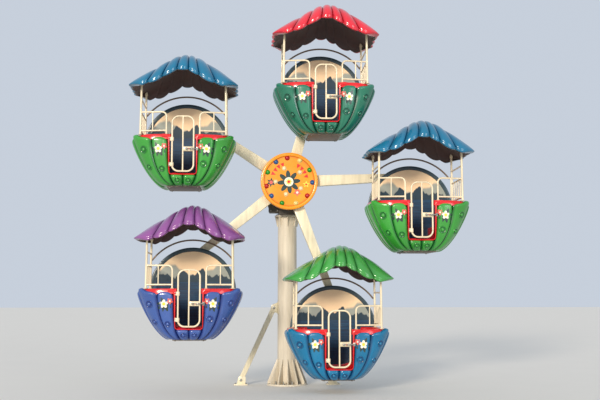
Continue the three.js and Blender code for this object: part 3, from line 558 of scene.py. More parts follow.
def fibreglass(name, color, groove_shade_color, roughness=0.22):
    """Glossy gel coat: slow changes of tone, painted shade with a little dirt in the grooves and creases,
    and a faint orange peel.
    """
    finish = Finish(name, roughness, coat=0.35)
    base = finish.toned(finish.noise(2.2, 4), color, 0.82, 1.08)
    patches = finish.noise(9.0, 6)
    base = finish.mixed(finish.ranged(patches, 0.6, 0.85, 0, 0.10), base, scaled(color, 1.5))
    shade_and_dirt = finish.ranged(patches, 0.2, 0.8, 0.75, 1.0)
    # Painted shade: the groove colour, by the groove attribute, mottled a little like dirt
    groove = finish.math("MULTIPLY", finish.attribute("groove"), shade_and_dirt)
    finish.color(finish.mixed(groove, base, groove_shade_color))
    finish.roughness(finish.ranged(patches, 0.3, 0.75, roughness - 0.05, roughness + 0.16))
    finish.bump(finish.noise(120, 2), 0.12, 0.0008)
    return finish.material


def enamel(name, color, roughness=0.34, wear=0.5, coat=0.25):
    """Brushed-on paint over steel: streaks that run down, small chips with rust, faint dust."""
    finish = Finish(name, roughness, coat=coat)
    streaks = finish.noise(5.0, 5, stretch=(6.0, 6.0, 0.6))
    base = finish.toned(streaks, color, 0.84, 1.06)
    chipped = finish.ranged(finish.noise(38.0, 6), 0.70, 0.74, 0, wear)
    base = finish.mixed(chipped, base, linear(120, 78, 50))
    grime = finish.math("MULTIPLY", finish.ranged(finish.noise(3.0, 5), 0.45, 0.75, 0, 0.35), wear)
    finish.color(finish.mixed(grime, base, linear(134, 118, 96)))
    finish.roughness(finish.ranged(streaks, 0.25, 0.75, roughness - 0.06, roughness + 0.18))
    finish.bump(finish.noise(85, 3), 0.2, 0.0008)
    return finish.material


def bare_steel(name, color, roughness=0.42):
    finish = Finish(name, roughness, metallic=0.85)
    stains = finish.noise(30, 6)
    finish.color(finish.toned(stains, color, 1.1, 0.45, 0.35, 0.7))
    finish.roughness(finish.ranged(stains, 0.3, 0.8, roughness - 0.1, roughness + 0.25))
    finish.bump(finish.noise(260, 2), 0.25, 0.0004)
    return finish.material


def vinyl(name, color):
    """Printed film or a coloured plastic knob."""
    finish = Finish(name, 0.3, coat=0.35)
    tone = finish.noise(26, 3)
    finish.color(finish.toned(tone, color, 0.86, 1.1))
    finish.roughness(finish.ranged(tone, 0.3, 0.7, 0.22, 0.4))
    finish.bump(finish.noise(400, 2), 0.1, 0.0003)
    return finish.material


def below_ridge(finish, across, height, scale, level, amount, soft, seed):
    """A range of hills: 1 below its line and 0 above it."""
    wave = finish.nodes.new("ShaderNodeTexNoise")
    wave.noise_dimensions = "1D"
    wave.inputs["Scale"].default_value = scale
    wave.inputs["Detail"].default_value = 3
    finish.links.new(finish.math("ADD", across, seed), wave.inputs["W"])
    line = finish.ranged(wave.outputs["Fac"], 0.25, 0.75, level - amount, level + amount)
    return finish.ranged(finish.math("SUBTRACT", height, line), -soft, soft, 1, 0)


def landscape(name):
    """The board's picture, by its UV: a warm sky, a soft range of hills and dark water."""
    finish = Finish(name, 0.5, coat=0.0)
    uv = finish.nodes.new("ShaderNodeTexCoord").outputs["UV"]
    parts = finish.nodes.new("ShaderNodeSeparateXYZ")
    finish.links.new(uv, parts.inputs[0])
    across, height = parts.outputs[0], parts.outputs[1]
    glow = finish.ranged(height, 0.68, 0.98, 0, 1)
    sky = finish.mixed(glow, linear(250, 212, 166), linear(250, 222, 178))
    far_hills = below_ridge(finish, across, height, 3.2, 0.74, 0.06, 0.015, 4.0)
    near_hills = below_ridge(finish, across, height, 6.0, 0.69, 0.07, 0.006, 11.0)
    land = finish.mixed(far_hills, sky, linear(150, 156, 146))
    land = finish.mixed(near_hills, land, linear(14, 50, 66))
    ripples = finish.ranged(finish.noise(1.0, 4, stretch=(3.0, 3.0, 90.0)), 0.35, 0.7, 0, 1)
    water = finish.mixed(ripples, linear(2, 44, 72), linear(8, 70, 104))
    picture = finish.mixed(finish.ranged(height, 0.605, 0.595, 0, 1), land, water)
    fade = finish.noise(4.0, 5)
    finish.color(finish.mixed(finish.ranged(fade, 0.5, 0.8, 0, 0.08), picture, linear(150, 150, 140)))
    finish.roughness(finish.ranged(fade, 0.3, 0.7, 0.42, 0.6))
    finish.bump(finish.noise(160, 2), 0.1, 0.0005)
    return finish.material


def plaster(name, color):
    """The studio's floor."""
    finish = Finish(name, 0.85)
    finish.color(finish.toned(finish.noise(1.5, 3), color, 0.985, 1.0))
    return finish.material


CREAM = enamel("cream enamel", linear(232, 220, 188))
TUBE_CREAM = enamel("cream tube enamel", linear(232, 216, 182), roughness=0.3, wear=0.7)
COLUMN_GREY = enamel("column enamel", linear(214, 203, 183), roughness=0.42, wear=0.35, coat=0.1)
DARK = enamel("dark drive enamel", linear(66, 62, 57), roughness=0.5, wear=0.5, coat=0.0)
SLATE = enamel("slate ring enamel", linear(36, 62, 72), roughness=0.36, wear=0.35)
STEEL = bare_steel("zinc steel", linear(170, 168, 160))
# The second colour of each gel coat is the painted shade in its grooves and creases
RED = fibreglass("red gel coat", linear(216, 28, 32), linear(90, 8, 10))
ORANGE = fibreglass("orange gel coat", linear(248, 152, 14), linear(190, 92, 8), roughness=0.3)
# The canopy's underside, in a dark brown-grey enamel
UNDERSIDE = enamel("raw laminate", linear(84, 70, 68), roughness=0.55, wear=0.2, coat=0.0)
PICTURE = landscape("landscape print")
MAT = enamel("footwell mat", linear(34, 40, 46), roughness=0.7, wear=0.3, coat=0.0)
# The arch and the bowls' base plates are in darker enamel than the rest, as painted shade, with heavy chips
# and grime as real wear
ARCH_SHADE_PAINT = enamel("weathered arch enamel", linear(126, 108, 90), roughness=0.42, wear=0.8, coat=0.1)
BASE_SHADE_PAINT = enamel("weathered base plate", linear(112, 100, 88), roughness=0.5, wear=0.9, coat=0.0)

# Gel coats of the bowls and the canopies: the colour of the surface and the colour of the painted shade in
# its grooves
BOWL_NAMES = {1: "teal", 2: "green", 3: "blue", 4: "indigo", 5: "green"}
BOWL_COATS = {
    "teal": ((40, 114, 90), (12, 62, 48)),
    "green": ((58, 148, 56), (16, 82, 38)),
    "blue": ((18, 108, 150), (6, 56, 98)),
    "indigo": ((62, 90, 156), (26, 44, 108)),
}
CANOPY_NAMES = {1: "red", 2: "blue", 3: "green", 4: "purple", 5: "blue"}
CANOPY_COATS = {
    "red": ((214, 44, 58), (128, 16, 30)),
    "blue": ((28, 110, 146), (10, 56, 90)),
    "green": ((66, 148, 68), (28, 88, 40)),
    "purple": ((134, 78, 140), (74, 38, 86)),
}


def gel_coats(part, names, coats, roughness):
    """The gel coats of the same part on each cabin."""
    made = {}
    for k, name in names.items():
        # The second colour is the painted shade in the grooves
        color, groove = coats[name]
        made[k] = fibreglass(f"{name} {part} gel coat {k}", linear(*color), linear(*groove), roughness)
    return made


BOWL_FINISH = gel_coats("bowl", BOWL_NAMES, BOWL_COATS, 0.22)
CANOPY_FINISH = gel_coats("canopy", CANOPY_NAMES, CANOPY_COATS, 0.17)
PRINT_SLATE = vinyl("slate print", linear(44, 62, 58))
PRINT_PINK = vinyl("pink print", linear(226, 104, 92))
PRINT_YELLOW = vinyl("yellow print", linear(236, 208, 74))
PRINT_WHITE = vinyl("white print", linear(244, 236, 214))
PRINT_RED = vinyl("red print", linear(222, 44, 38))
PRINTS = [PRINT_SLATE, PRINT_PINK, PRINT_YELLOW, PRINT_WHITE, PRINT_RED]
SLATE_INK, PINK_INK, YELLOW_INK, WHITE_INK, RED_INK = range(5)
KNOB_FINISH = {
    "blue": vinyl("blue knob", linear(30, 84, 140)),
    "green": vinyl("green knob", linear(30, 140, 44)),
    "cream": vinyl("cream knob", linear(232, 208, 128)),
    "red": vinyl("red knob", linear(178, 28, 36)),
    "ivory": vinyl("ivory knob", linear(244, 226, 180)),
}


def column_radius(z):
    return lerp(COLUMN_FOOT_RADIUS, COLUMN_TOP_RADIUS, z / HEAD_PLATE_Z)


def make_column():
    low = FLANGE_THICKNESS + GAP
    high = HEAD_PLATE_Z - GAP
    levels = np.linspace(low, high, 12)
    profile = [(0, low), *((column_radius(z), z) for z in levels), (0, high)]
    column = Shape().lathe(profile, axis="Z", segments=96)
    piece("column_tube", column, [COLUMN_GREY], "root", ["column"])


def add_gussets(shape, outline, count):
    """Upright ribs round the column, each from the same outline."""
    half = GUSSET_THICKNESS / 2
    gusset = Shape().plate(outline, -half, half, 0.0015)
    for turn in around(count):
        shape.merge(gusset, spin("Z", turn))


def make_base_flange():
    radius, top = FLANGE_RADIUS, FLANGE_THICKNESS
    flange = Shape().lathe(
        [(0, 0), (radius, 0), (radius, top - PLATE_EDGE), (radius - PLATE_EDGE, top), (0, top)],
        axis="Z", segments=96,
    )
    inner = column_radius(top) - GUSSET_SEAT
    nose = radius - GUSSET_MARGIN
    nose_height = 0.022
    peak = top + BASE_GUSSET_HEIGHT
    peak_width = 0.006
    outline = [
        (inner, top - GUSSET_SEAT), (nose, top - GUSSET_SEAT), (nose, top + nose_height),
        (column_radius(peak) + peak_width, peak), (inner, peak),
    ]
    add_gussets(flange, outline, BASE_GUSSETS)
    wall = column_radius(top * 1.5)
    weld = 0.007
    flange.lathe([(wall + weld, top), (wall, top + weld)], axis="Z", segments=96)
    piece("base_flange_plate", flange, [COLUMN_GREY], "root", ["base_flange"])


def make_anchors():
    """A nut and the end of its stud between each two gussets."""
    anchors = Shape()
    stud = [(0, 0.012), (0.0085, 0.012), (0.0085, 0.034), (0.007, 0.036), (0, 0.036)]
    for turn in around(BASE_GUSSETS, 0.5):
        place = (*polar(0, 0, ANCHOR_CIRCLE, turn), FLANGE_THICKNESS)
        anchors.bolt(place, "+Z", 0.017)
        anchors.lathe(stud, place, "Z", 16)
    piece("base_anchor_nuts", anchors, [STEEL], "root")


def make_head_plate():
    low, high, radius = HEAD_PLATE_Z, HEAD_PLATE_TOP, HEAD_PLATE_RADIUS
    head = Shape().lathe(
        [(0, low), (radius - PLATE_EDGE, low), (radius, low + PLATE_EDGE), (radius, high - PLATE_EDGE),
         (radius - PLATE_EDGE, high), (0, high)],
        axis="Z", segments=96,
    )
    foot = low - HEAD_GUSSET_HEIGHT
    foot_width = 0.014
    inner = column_radius(foot) - GUSSET_SEAT
    nose = radius - GUSSET_MARGIN
    nose_height = 0.018
    sink = 0.003
    outline = [
        (inner, foot), (inner + foot_width, foot), (nose, low - nose_height), (nose, low + sink),
        (inner, low + sink),
    ]
    add_gussets(head, outline, HEAD_GUSSETS)
    piece("column_head_plate", head, [COLUMN_GREY], "root")


def make_housing():
    """The bearing housing: an arched block on two flanged feet, with a cap at each end."""
    half, foot = HOUSING_HALF_WIDTH, HEAD_PLATE_TOP
    outline = [(-half, foot - PLATE_EDGE), (half, foot - PLATE_EDGE)]
    outline += arc(0, HUB_HEIGHT, half, 0, 180, 25)
    housing = Shape().plate(outline, HOUSING_FRONT_Y, HOUSING_BACK_Y, 0.004)
    cap = [(0.052, 0), (0.092, 0), (0.092, 0.010), (0.088, 0.013), (0.052, 0.013)]
    for y, height in ((HOUSING_FRONT_Y, -0.3), (HOUSING_BACK_Y, 1)):
        housing.lathe([(radius, rise * height) for radius, rise in cap], (0, y, HUB_HEIGHT), "Y", 48)
    rib_inset, rib_half, rib_stand, rib_height = 0.03, 0.012, 0.004, 0.05
    for y in (HOUSING_FRONT_Y + rib_inset, HOUSING_BACK_Y - rib_inset):
        low = (-half - rib_stand, y - rib_half, foot)
        housing.box(low, (half + rib_stand, y + rib_half, foot + rib_height))
    cap_bolt_circle = 0.078
    for turn in around(6):
        x, z = polar(0, HUB_HEIGHT, cap_bolt_circle, turn)
        housing.bolt((x, HOUSING_BACK_Y + 0.012, z), "+Y", 0.008, 1)
    for x in (-0.132, 0.132):
        for y in (-0.10, 0.06):
            housing.bolt((x, y, foot), "+Z", 0.011, 1)
    piece("bearing_housing", housing, [DARK, STEEL], "root", ["column_head"])


def motor_profile(back):
    """The motor from its flange over its fins to its fan cover."""
    core, fin, cover = MOTOR_CORE_RADIUS, MOTOR_RADIUS, MOTOR_RADIUS - 0.002
    flange, flange_radius = GEARBOX_BACK_Y, 0.070
    start, end = flange + 0.02, back - 0.055
    step = (end - start) / MOTOR_FINS
    profile = [(0, flange - 0.004), (flange_radius, flange - 0.004), (flange_radius, flange + 0.012),
               (core, flange + 0.016)]
    for i in range(MOTOR_FINS):
        y = start + i * step
        profile += [(core, y), (fin, y + 0.15 * step), (fin, y + 0.5 * step), (core, y + 0.65 * step)]
    profile += [(core, end), (cover, end + 0.002), (cover, back - 0.012), (0.048, back), (0, back)]
    return profile


def make_drive_unit():
    """A ribbed gearbox beside the housing, and a finned motor behind it with its terminal box."""
    low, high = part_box("drive_unit")
    right = -HOUSING_HALF_WIDTH - GAP
    drive = Shape().box((low.x + 0.003, low.y, low.z), (right, GEARBOX_BACK_Y, high.z), 0.010)
    rib_half, rib_inset, rib_margin = 0.004, 0.03, 0.02
    for i in range(GEARBOX_RIBS):
        y = lerp(low.y + rib_inset, GEARBOX_BACK_Y - rib_inset, i / (GEARBOX_RIBS - 1))
        drive.box((low.x - 0.002, y - rib_half, low.z + rib_margin),
                  (low.x + 0.006, y + rib_half, high.z - rib_margin), 0.001)
    drive.lathe(motor_profile(high.y), (MOTOR_X, 0, MOTOR_Z), "Y", 48)
    drive.box((MOTOR_X - 0.035, 0.06, MOTOR_Z + 0.05), (MOTOR_X + 0.035, 0.14, MOTOR_Z + 0.092), 0.005)
    corner = 0.022
    for x in (low.x + corner, right - corner):
        for z in (low.z + corner, high.z - corner):
            drive.bolt((x, low.y, z), "-Y", 0.008, 1)
    piece("drive_gearmotor", drive, [DARK, STEEL], "root", ["drive_unit"])


def add_pole(brace):
    foot, top = np.array(BRACE_FOOT), np.array(BRACE_TOP)
    half = BRACE_TUBE / 2
    half_length = np.linalg.norm(top - foot) / 2 + BRACE_OVERRUN
    pole = Shape().box((-half, -half, -half_length), (half, half, half_length), 0.006)
    lean = math.atan2(*(top - foot))
    middle = (foot + top) / 2
    brace.merge(pole, spin("Y", lean), (middle[0], 0, middle[1]))


def add_foot_plate(brace):
    reach, half_depth, height = FOOT_PLATE
    x = BRACE_FOOT[0]
    brace.box((x - reach, -half_depth, 0), (x + reach, half_depth, height), 0.002)
    for bolt_x in (x - reach + 0.020, x + reach - 0.020):
        for y in (-half_depth + 0.016, half_depth - 0.016):
            brace.bolt((bolt_x, y, height), "+Z", 0.009, 1)


def add_forks(brace):
    """Two cheeks on each side of the pole's ends, each with the head of its pin."""
    wall = -column_radius(BRACE_TOP[1]) - 0.006 - BRACE_TOP[0]
    lower = [(-0.050, -0.050), (0.055, -0.050), (0.062, 0.030), (0.046, 0.052), (-0.008, 0.052),
             (-0.030, 0.030)]
    upper = [(-0.044, -0.045), (-0.026, -0.062), (wall, -0.062), (wall, 0.060), (-0.012, 0.044),
             (-0.034, 0.024)]
    inner = BRACE_TUBE / 2
    outer = inner + FORK_THICKNESS
    for side, axis in ((-1, "-Y"), (1, "+Y")):
        front, back = sorted((side * inner, side * outer))
        for (x, z), outline in ((BRACE_FOOT, lower), (BRACE_TOP, upper)):
            brace.plate([(x + right, z + up) for right, up in outline], front, back, 0.0015)
            brace.bolt((x, side * outer, z), axis, 0.016, 1)


def add_saddle(brace):
    """The curved pad between the upper fork and the column."""
    x, z = BRACE_TOP
    radius = column_radius(z)
    turns = np.linspace(-SADDLE_TURN, SADDLE_TURN, 15)
    edge, half = PLATE_EDGE, SADDLE_HALF_HEIGHT
    sections = []
    for height, ease in ((-half, edge), (edge - half, 0), (half - edge, 0), (half, edge)):
        ring = [(radius + SADDLE_THICKNESS - ease, turn) for turn in turns]
        ring += [(radius - edge, turn) for turn in turns[::-1]]
        section = []
        for reach, turn in ring:
            section.append((-reach * math.cos(turn), reach * math.sin(turn), z + height))
        sections.append(section)
    brace.loft(sections)


def make_braces():
    """Two raking braces. The right one is the left one turned about the column."""
    brace = Shape()
    add_pole(brace)
    add_foot_plate(brace)
    add_forks(brace)
    add_saddle(brace)
    for node, turn in (("left_brace", 0), ("right_brace", math.pi)):
        turned = Shape().merge(brace, spin("Z", turn))
        piece(f"{node}_tube", turned, [CREAM, STEEL], "root", [node])


ARM_TURNS = {k: math.atan2(PIVOTS[k].z - HUB_HEIGHT, PIVOTS[k].x) for k in CABINS}


def make_hub():
    """A five-sided block for the arms, its flanged neck, and the shaft's end behind the housing."""
    low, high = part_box("hub")
    centre = (0, 0, HUB_HEIGHT)
    corner = HUB_FLAT_RADIUS / math.cos(math.pi / 5)
    flats = [polar(0, HUB_HEIGHT, corner, turn + math.pi / 5) for turn in ARM_TURNS.values()]
    hub = Shape().plate(flats, low.y, ARM_BACK_Y + 0.012, 0.003)
    edge, rim, neck = PLATE_EDGE, HUB_FLANGE_RADIUS, HUB_NECK_RADIUS
    front, back = ARM_BACK_Y + 0.010, ARM_BACK_Y + 0.035
    neck_end = HOUSING_FRONT_Y - 0.006
    hub.lathe(
        [(0.120, front), (rim - edge, front), (rim, front + edge), (rim, back - edge), (rim - edge, back),
         (neck + 0.013, back), (neck + 0.003, back + 0.008), (neck, back + 0.012), (neck, neck_end),
         (SHAFT_RADIUS, neck_end)],
        centre, "Y", 72,
    )
    collar, collar_radius = HOUSING_BACK_Y + 0.004, 0.082
    hub.lathe([(SHAFT_RADIUS, HOUSING_FRONT_Y - 0.012), (SHAFT_RADIUS, collar + 0.010)], centre, "Y", 48)
    hub.lathe(
        [(SHAFT_RADIUS - edge, collar), (collar_radius - edge, collar), (collar_radius, collar + edge),
         (collar_radius, high.y - 0.003), (collar_radius - 0.003, high.y), (0.030, high.y),
         (0.028, high.y - 0.006), (0, high.y - 0.006)],
        centre, "Y", 48,
    )
    bolt_circle = 0.165
    for turn in around(10, 0.5):
        x, z = polar(0, HUB_HEIGHT, bolt_circle, turn + ARM_TURNS[1])
        hub.bolt((x, back, z), "+Y", 0.012, 1)
    piece("hub_casting", hub, [DARK, STEEL], "wheel", ["hub"])


def add_beam(arm):
    """The tapered box with the seam of its weld, and its two tabs on the hub's flange."""
    start, end = HUB_FLAT_RADIUS + GAP, PIVOT_RADIUS - BARREL_RADIUS * 0.7
    root = ARM_ROOT_WIDTH / 2
    tip = lerp(root, ARM_TIP_WIDTH / 2, (end - start) / (PIVOT_RADIUS - start))
    arm.plate([(start, -root), (end, -tip), (end, tip), (start, root)], ARM_FRONT_Y, ARM_BACK_Y, 0.005)
    bead, bead_half = 0.0012, 0.004
    seam = lerp(start, end, ARM_SEAM_SHARE)
    half = lerp(root, tip, ARM_SEAM_SHARE) + bead
    arm.plate(
        [(seam - bead_half, -half), (seam + bead_half, -half), (seam + bead_half, half),
         (seam - bead_half, half)],
        ARM_FRONT_Y - bead, ARM_BACK_Y + bead, 0.001,
    )
    tab_length, tab_rise = 0.11, 0.016
    for edge in (-1, 1):
        arm.plate(
            [(start, edge * (root - 0.002)), (start + tab_length, edge * (root - 0.006)),
             (start, edge * (root + tab_rise))],
            ARM_BACK_Y - 0.055, ARM_BACK_Y - 0.045, 0.001,
        )


def make_arms():
    """Each arm is a tapered box, with a barrel at its end for the cabin's shaft."""
    arm = Shape()
    add_beam(arm)
    bore, radius, edge = BARREL_BORE, BARREL_RADIUS, 0.003
    front, back = BARREL_FRONT_Y, BARREL_BACK_Y
    barrel = [(bore, front), (radius - edge, front), (radius, front + edge), (radius, back - edge),
              (radius - edge, back), (bore, back), (bore, front)]
    arm.lathe(barrel, (PIVOT_RADIUS, 0, 0), "Y", 56)
    for k in CABINS:
        turned = Shape().merge(arm, spin("Y", -ARM_TURNS[k]), (0, 0, HUB_HEIGHT))
        piece(f"arm_{k}_beam", turned, [CREAM], "wheel", [f"arm_{k}"])


COVER_INNER_RADIUS = COVER_RADIUS - COVER_RIM_WIDTH
COVER_BOSS_RADIUS = 0.070
COVER_BOSS_BACK_Y = -0.4363


def cover_y(x, z):
    """The disc's front face, slightly domed."""
    return COVER_FACE_Y - COVER_DOME * (1 - (float(np.hypot(x, z)) / COVER_INNER_RADIUS) ** 2)


def cover_profile():
    """The disc's section: its domed face, its raised rim, its side and the hollow behind it."""
    radius, face, back = COVER_RADIUS, COVER_FACE_Y, COVER_BACK_Y
    profile = [(reach, cover_y(reach, 0)) for reach in np.linspace(0, COVER_INNER_RADIUS, 14)]
    for turn in np.linspace(0, math.pi, 15)[1:-1]:
        reach = lerp(COVER_INNER_RADIUS, radius, (1 - math.cos(turn)) / 2)
        profile.append((reach, face - COVER_RIM_HEIGHT * math.sin(turn) ** 0.7))
    wall = radius - 0.010
    profile += [(radius, face + 0.002), (radius, back - 0.003), (radius - 0.003, back), (wall, back),
                (wall, face + 0.010), (COVER_BOSS_RADIUS, face + 0.010),
                (COVER_BOSS_RADIUS, COVER_BOSS_BACK_Y), (0, COVER_BOSS_BACK_Y)]
    return np.array(profile)


def make_cover_disc():
    profile = cover_profile()
    segments = 128
    disc = Shape().lathe(profile, (0, 0, HUB_HEIGHT), "Y", segments)
    radii, depths = np.repeat(profile, segments, axis=0).T
    # Painted shade in the crease at the foot of the raised rim
    crease = 0.010
    near_rim = np.clip(1 - np.abs(radii - COVER_INNER_RADIUS) / crease, 0, 1)
    disc.grooves[0] = near_rim * (depths < COVER_FACE_Y + 0.004) * 0.8
    piece("cover_disc", disc, [ORANGE], "wheel", ["hub_cover"], smooth=50)


# Knobs on the disc: the angles and colours of the outer ones, and the angle of the first inner one
RIM_KNOBS = (
    (-3, "blue"), (29, "green"), (63, "cream"), (95, "red"), (125, "blue"), (158, "green"),
    (193, "red"), (220, "blue"), (252, "green"), (287, "cream"), (321, "red"),
)
RIM_KNOB_CIRCLE = 0.284
RIM_KNOB_RADIUS = 0.026
INNER_KNOBS = 5
INNER_KNOB_START = 40
INNER_KNOB_CIRCLE = 0.167
INNER_KNOB_RADIUS = 0.023


def make_cover_knobs():
    """Half balls in low collars."""
    places = [(RIM_KNOB_CIRCLE, RIM_KNOB_RADIUS, turn, name) for turn, name in RIM_KNOBS]
    for i in range(INNER_KNOBS):
        turn = INNER_KNOB_START + 360 / INNER_KNOBS * i
        places.append((INNER_KNOB_CIRCLE, INNER_KNOB_RADIUS, turn, "ivory"))
    order = list(KNOB_FINISH)
    knobs = Shape()
    for circle, radius, turn, name in places:
        x, z = polar(0, 0, circle, math.radians(turn))
        collar = [(radius * 1.16, 0.002), (radius * 1.16, -0.003), (radius * 1.08, -0.005),
                  (radius * 1.02, -0.004)]
        dome = [(radius * math.cos(a), -radius * 0.95 * math.sin(a))
                for a in np.linspace(0, math.pi / 2, 9)]
        centre = (x, cover_y(x, z) - 0.0005, HUB_HEIGHT + z)
        knobs.lathe(collar + dome, centre, "Y", 28, order.index(name))
    piece("cover_knobs", knobs, list(KNOB_FINISH.values()), "wheel")


def ellipse(x, z, width, height, tilt=0.0):
    turn = around(28)
    across, up = width * np.cos(turn), height * np.sin(turn)
    c, s = math.cos(tilt), math.sin(tilt)
    return [(x + c * a - s * b, z + s * a + c * b) for a, b in zip(across, up)]


def dot(x, z, radius):
    return ellipse(x, z, radius, radius)


def star(x, z, outer, inner, points, tilt=0.0):
    return [polar(x, z, inner if i % 2 else outer, tilt + i / points * math.pi) for i in range(points * 2)]


def decal(shape, outline, place, lift, kind):
    """A printed figure of (x, z) points, laid on a surface by its place function."""
    outline = np.array(outline)
    longest_step = 0.008
    dense = []
    for a, b in zip(outline, np.roll(outline, -1, 0)):
        steps = max(1, int(np.linalg.norm(b - a) / longest_step))
        dense += [a + (b - a) * i / steps for i in range(steps)]
    dense = np.array(dense)
    centre = dense.mean(0)
    shares = np.array([0.002, 0.3, 0.55, 0.8, 1.0])
    rings = centre + (dense - centre) * shares[:, None, None]
    points = np.array([[place(x, z, lift) for x, z in ring] for ring in rings])
    skirt = np.array([[place(x, z, 0) for x, z in dense]])
    return shape.sheet(np.concatenate([points, skirt]), kind, round_columns=True)


# Prints on the disc. Later layers lie over earlier ones.
COVER_LAYERS = (0.0010, 0.0016, 0.0022, 0.0028)
FLOWER = (-0.005, -0.010)
PENNANT_CIRCLE = 0.236
PENNANT_STEP = 14.5
# Small stars: x, z, outer and inner radius, points, tilt and ink, then the radius and ink of the dot
SPRIGS = (
    (-0.222, -0.018, 0.060, 0.030, 6, 0.4, SLATE_INK, 0.022, PINK_INK),
    (0.098, -0.140, 0.052, 0.026, 5, 0.9, PINK_INK, 0.014, WHITE_INK),
    (0.208, -0.040, 0.046, 0.022, 5, 0.3, YELLOW_INK, 0.012, RED_INK),
)


def cover_flower():
    """The large flower in the middle: eight leaves, a white disc, a star and a red heart."""
    figures = []
    for i in range(8):
        turn = math.radians(96 + 45 * i)
        figures.append((ellipse(*polar(*FLOWER, 0.082, turn), 0.060, 0.027, turn), 0, SLATE_INK))
    figures.append((dot(*FLOWER, 0.056), 1, WHITE_INK))
    figures.append((star(*FLOWER, 0.047, 0.024, 8), 2, YELLOW_INK))
    figures.append((dot(*FLOWER, 0.017), 3, RED_INK))
    return figures


def pennants():
    """Two rows of four small flags that point to the middle."""
    figures = []
    for start in (112, 16):
        for i in range(4):
            turn = math.radians(start + PENNANT_STEP * i)
            out = np.array(polar(0, 0, 1, turn))
            side = np.array([-out[1], out[0]]) * 0.024
            base = out * PENNANT_CIRCLE
            figures.append(([base + side, base - side, base - out * 0.054], 0, RED_INK))
    return figures


def on_cover(x, z, lift):
    return (x, cover_y(x, z) - lift, HUB_HEIGHT + z)


def make_cover_prints():
    figures = cover_flower()
    for x, z, outer, inner, points, tilt, ink, dot_radius, dot_ink in SPRIGS:
        figures.append((star(x, z, outer, inner, points, tilt), 0, ink))
        figures.append((dot(x, z, dot_radius), 1, dot_ink))
    prints = Shape()
    for outline, layer, ink in figures + pennants():
        decal(prints, outline, on_cover, COVER_LAYERS[layer], ink)
    piece("cover_prints", prints, PRINTS, "wheel")


def panel_profile():
    """The ring's rounded front, its side and the panel's flat back."""
    inner, radius, back = PANEL_RADIUS - PANEL_RING_WIDTH, PANEL_RADIUS, PANEL_BACK_Y
    edge = 0.004
    profile = [(inner - edge, PANEL_FRONT_Y + PANEL_RECESS)]
    for turn in np.linspace(0, math.pi, 13):
        rise = abs(math.sin(turn)) ** 0.6
        profile.append((lerp(inner + 0.001, radius, (1 - math.cos(turn)) / 2),
                        PANEL_FRONT_Y + PANEL_RING_HEIGHT * (1 - rise)))
    return profile + [(radius, back - edge), (radius - edge, back), (0, back)]


def add_cabin_shaft(shape):
    """The boss in front of the arm's barrel, the shaft through it and the collar behind it."""
    boss, shaft, collar_radius, edge = 0.055, 0.030, 0.046, PLATE_EDGE
    start, boss_end = SPINE_BACK_Y - edge, BARREL_FRONT_Y - 0.001
    profile = [(boss, start), (boss, BARREL_FRONT_Y - edge), (boss - 0.003, boss_end), (shaft, boss_end)]
    shape.lathe(profile, (0, 0, 0), "Y", 48, 1)
    collar = BARREL_BACK_Y + 0.001
    end = collar + 0.024
    profile = [(shaft, start), (shaft, collar), (collar_radius - edge, collar),
               (collar_radius, collar + edge), (collar_radius, end - 0.003),
               (collar_radius - 0.003, end), (0, end)]
    shape.lathe(profile, (0, 0, 0), "Y", 40, 1)


def add_panel_bolts(shape):
    for x in (-0.33, -0.15, 0.15, 0.33):
        shape.bolt((x, SPINE_BACK_Y, BEAM_Z), "+Y", 0.010, 1)
    for z in (-0.10, -0.25, -0.40, -0.52, -0.70):
        for x in (-0.032, 0.032):
            shape.bolt((x, SPINE_BACK_Y, z), "+Y", 0.009, 1)
    for turn in around(16, 0.5):
        x, z = polar(0, -PANEL_DROP, PANEL_BOLT_CIRCLE, turn)
        shape.bolt((x, PANEL_BACK_Y, z), "+Y", 0.007, 1)


def build_panel():
    """The board in its ring, with the spine, the beam and the cabin's shaft behind it."""
    shape = Shape().lathe(panel_profile(), (0, 0, -PANEL_DROP), "Y", 96)
    half, front = SPINE_WIDTH / 2, PANEL_BACK_Y - 0.002
    shape.box((-half, front, SPINE_BOTTOM_Z), (half, SPINE_BACK_Y, SPINE_TOP_Z), 0.005)
    low = (-BEAM_HALF_LENGTH, front, BEAM_Z - BEAM_HALF_HEIGHT)
    shape.box(low, (BEAM_HALF_LENGTH, SPINE_BACK_Y - 0.0005, BEAM_Z + BEAM_HALF_HEIGHT), 0.005)
    add_cabin_shaft(shape)
    add_panel_bolts(shape)
    return shape


def shell_point(turn, depth, inset=0.0):
    """A point of the shell. The turn is from straight ahead (-Y) towards +X, in radians, and the
    depth runs from 0 at the rim to 1 at the bottom."""
    across, ahead = np.sin(turn), np.cos(turn)
    reach = (np.abs(across) ** SQUARENESS + np.abs(ahead) ** SQUARENESS) ** (-1 / SQUARENESS)
    width = bezier(WIDTH_CURVE, depth) - inset
    length = np.where(ahead > 0, bezier(FRONT_CURVE, depth), bezier(BACK_CURVE, depth)) - inset
    y = np.minimum(-length * ahead * reach, BACK_REACH - inset)
    return np.stack([width * across * reach, y, bezier(HEIGHT_CURVE, depth) + 0 * turn], -1)


def shell_normal(turn, depth):
    step = 1e-3
    along = shell_point(turn + step, depth) - shell_point(turn - step, depth)
    down = shell_point(turn, np.minimum(depth + step, 1)) - shell_point(turn, np.maximum(depth - step, 0))
    normal = np.cross(down, along)
    return normal / np.linalg.norm(normal, axis=-1)[..., None]


DEPTHS = np.linspace(0, 1, 400)
HEIGHTS = bezier(HEIGHT_CURVE, DEPTHS)


def depth_at(z):
    return np.interp(-np.asarray(z), -HEIGHTS, DEPTHS)


def plan_turn(ratio):
    """The turn at which the shell's plan is that share of its half width, in radians."""
    return np.arctan2(ratio, (1 - ratio**SQUARENESS) ** (1 / SQUARENESS))


def liner_inset(depth):
    """How far the liner's wall lies inside the shell: the rim's width at the top, less below it,
    and more again towards the floor."""
    wall, foot = 0.038, 0.030
    return lerp(RIM_FLANGE_WIDTH, wall, np.clip(depth * 1.6, 0, 1)) + foot * smoothstep(0.4, 0.9, depth)


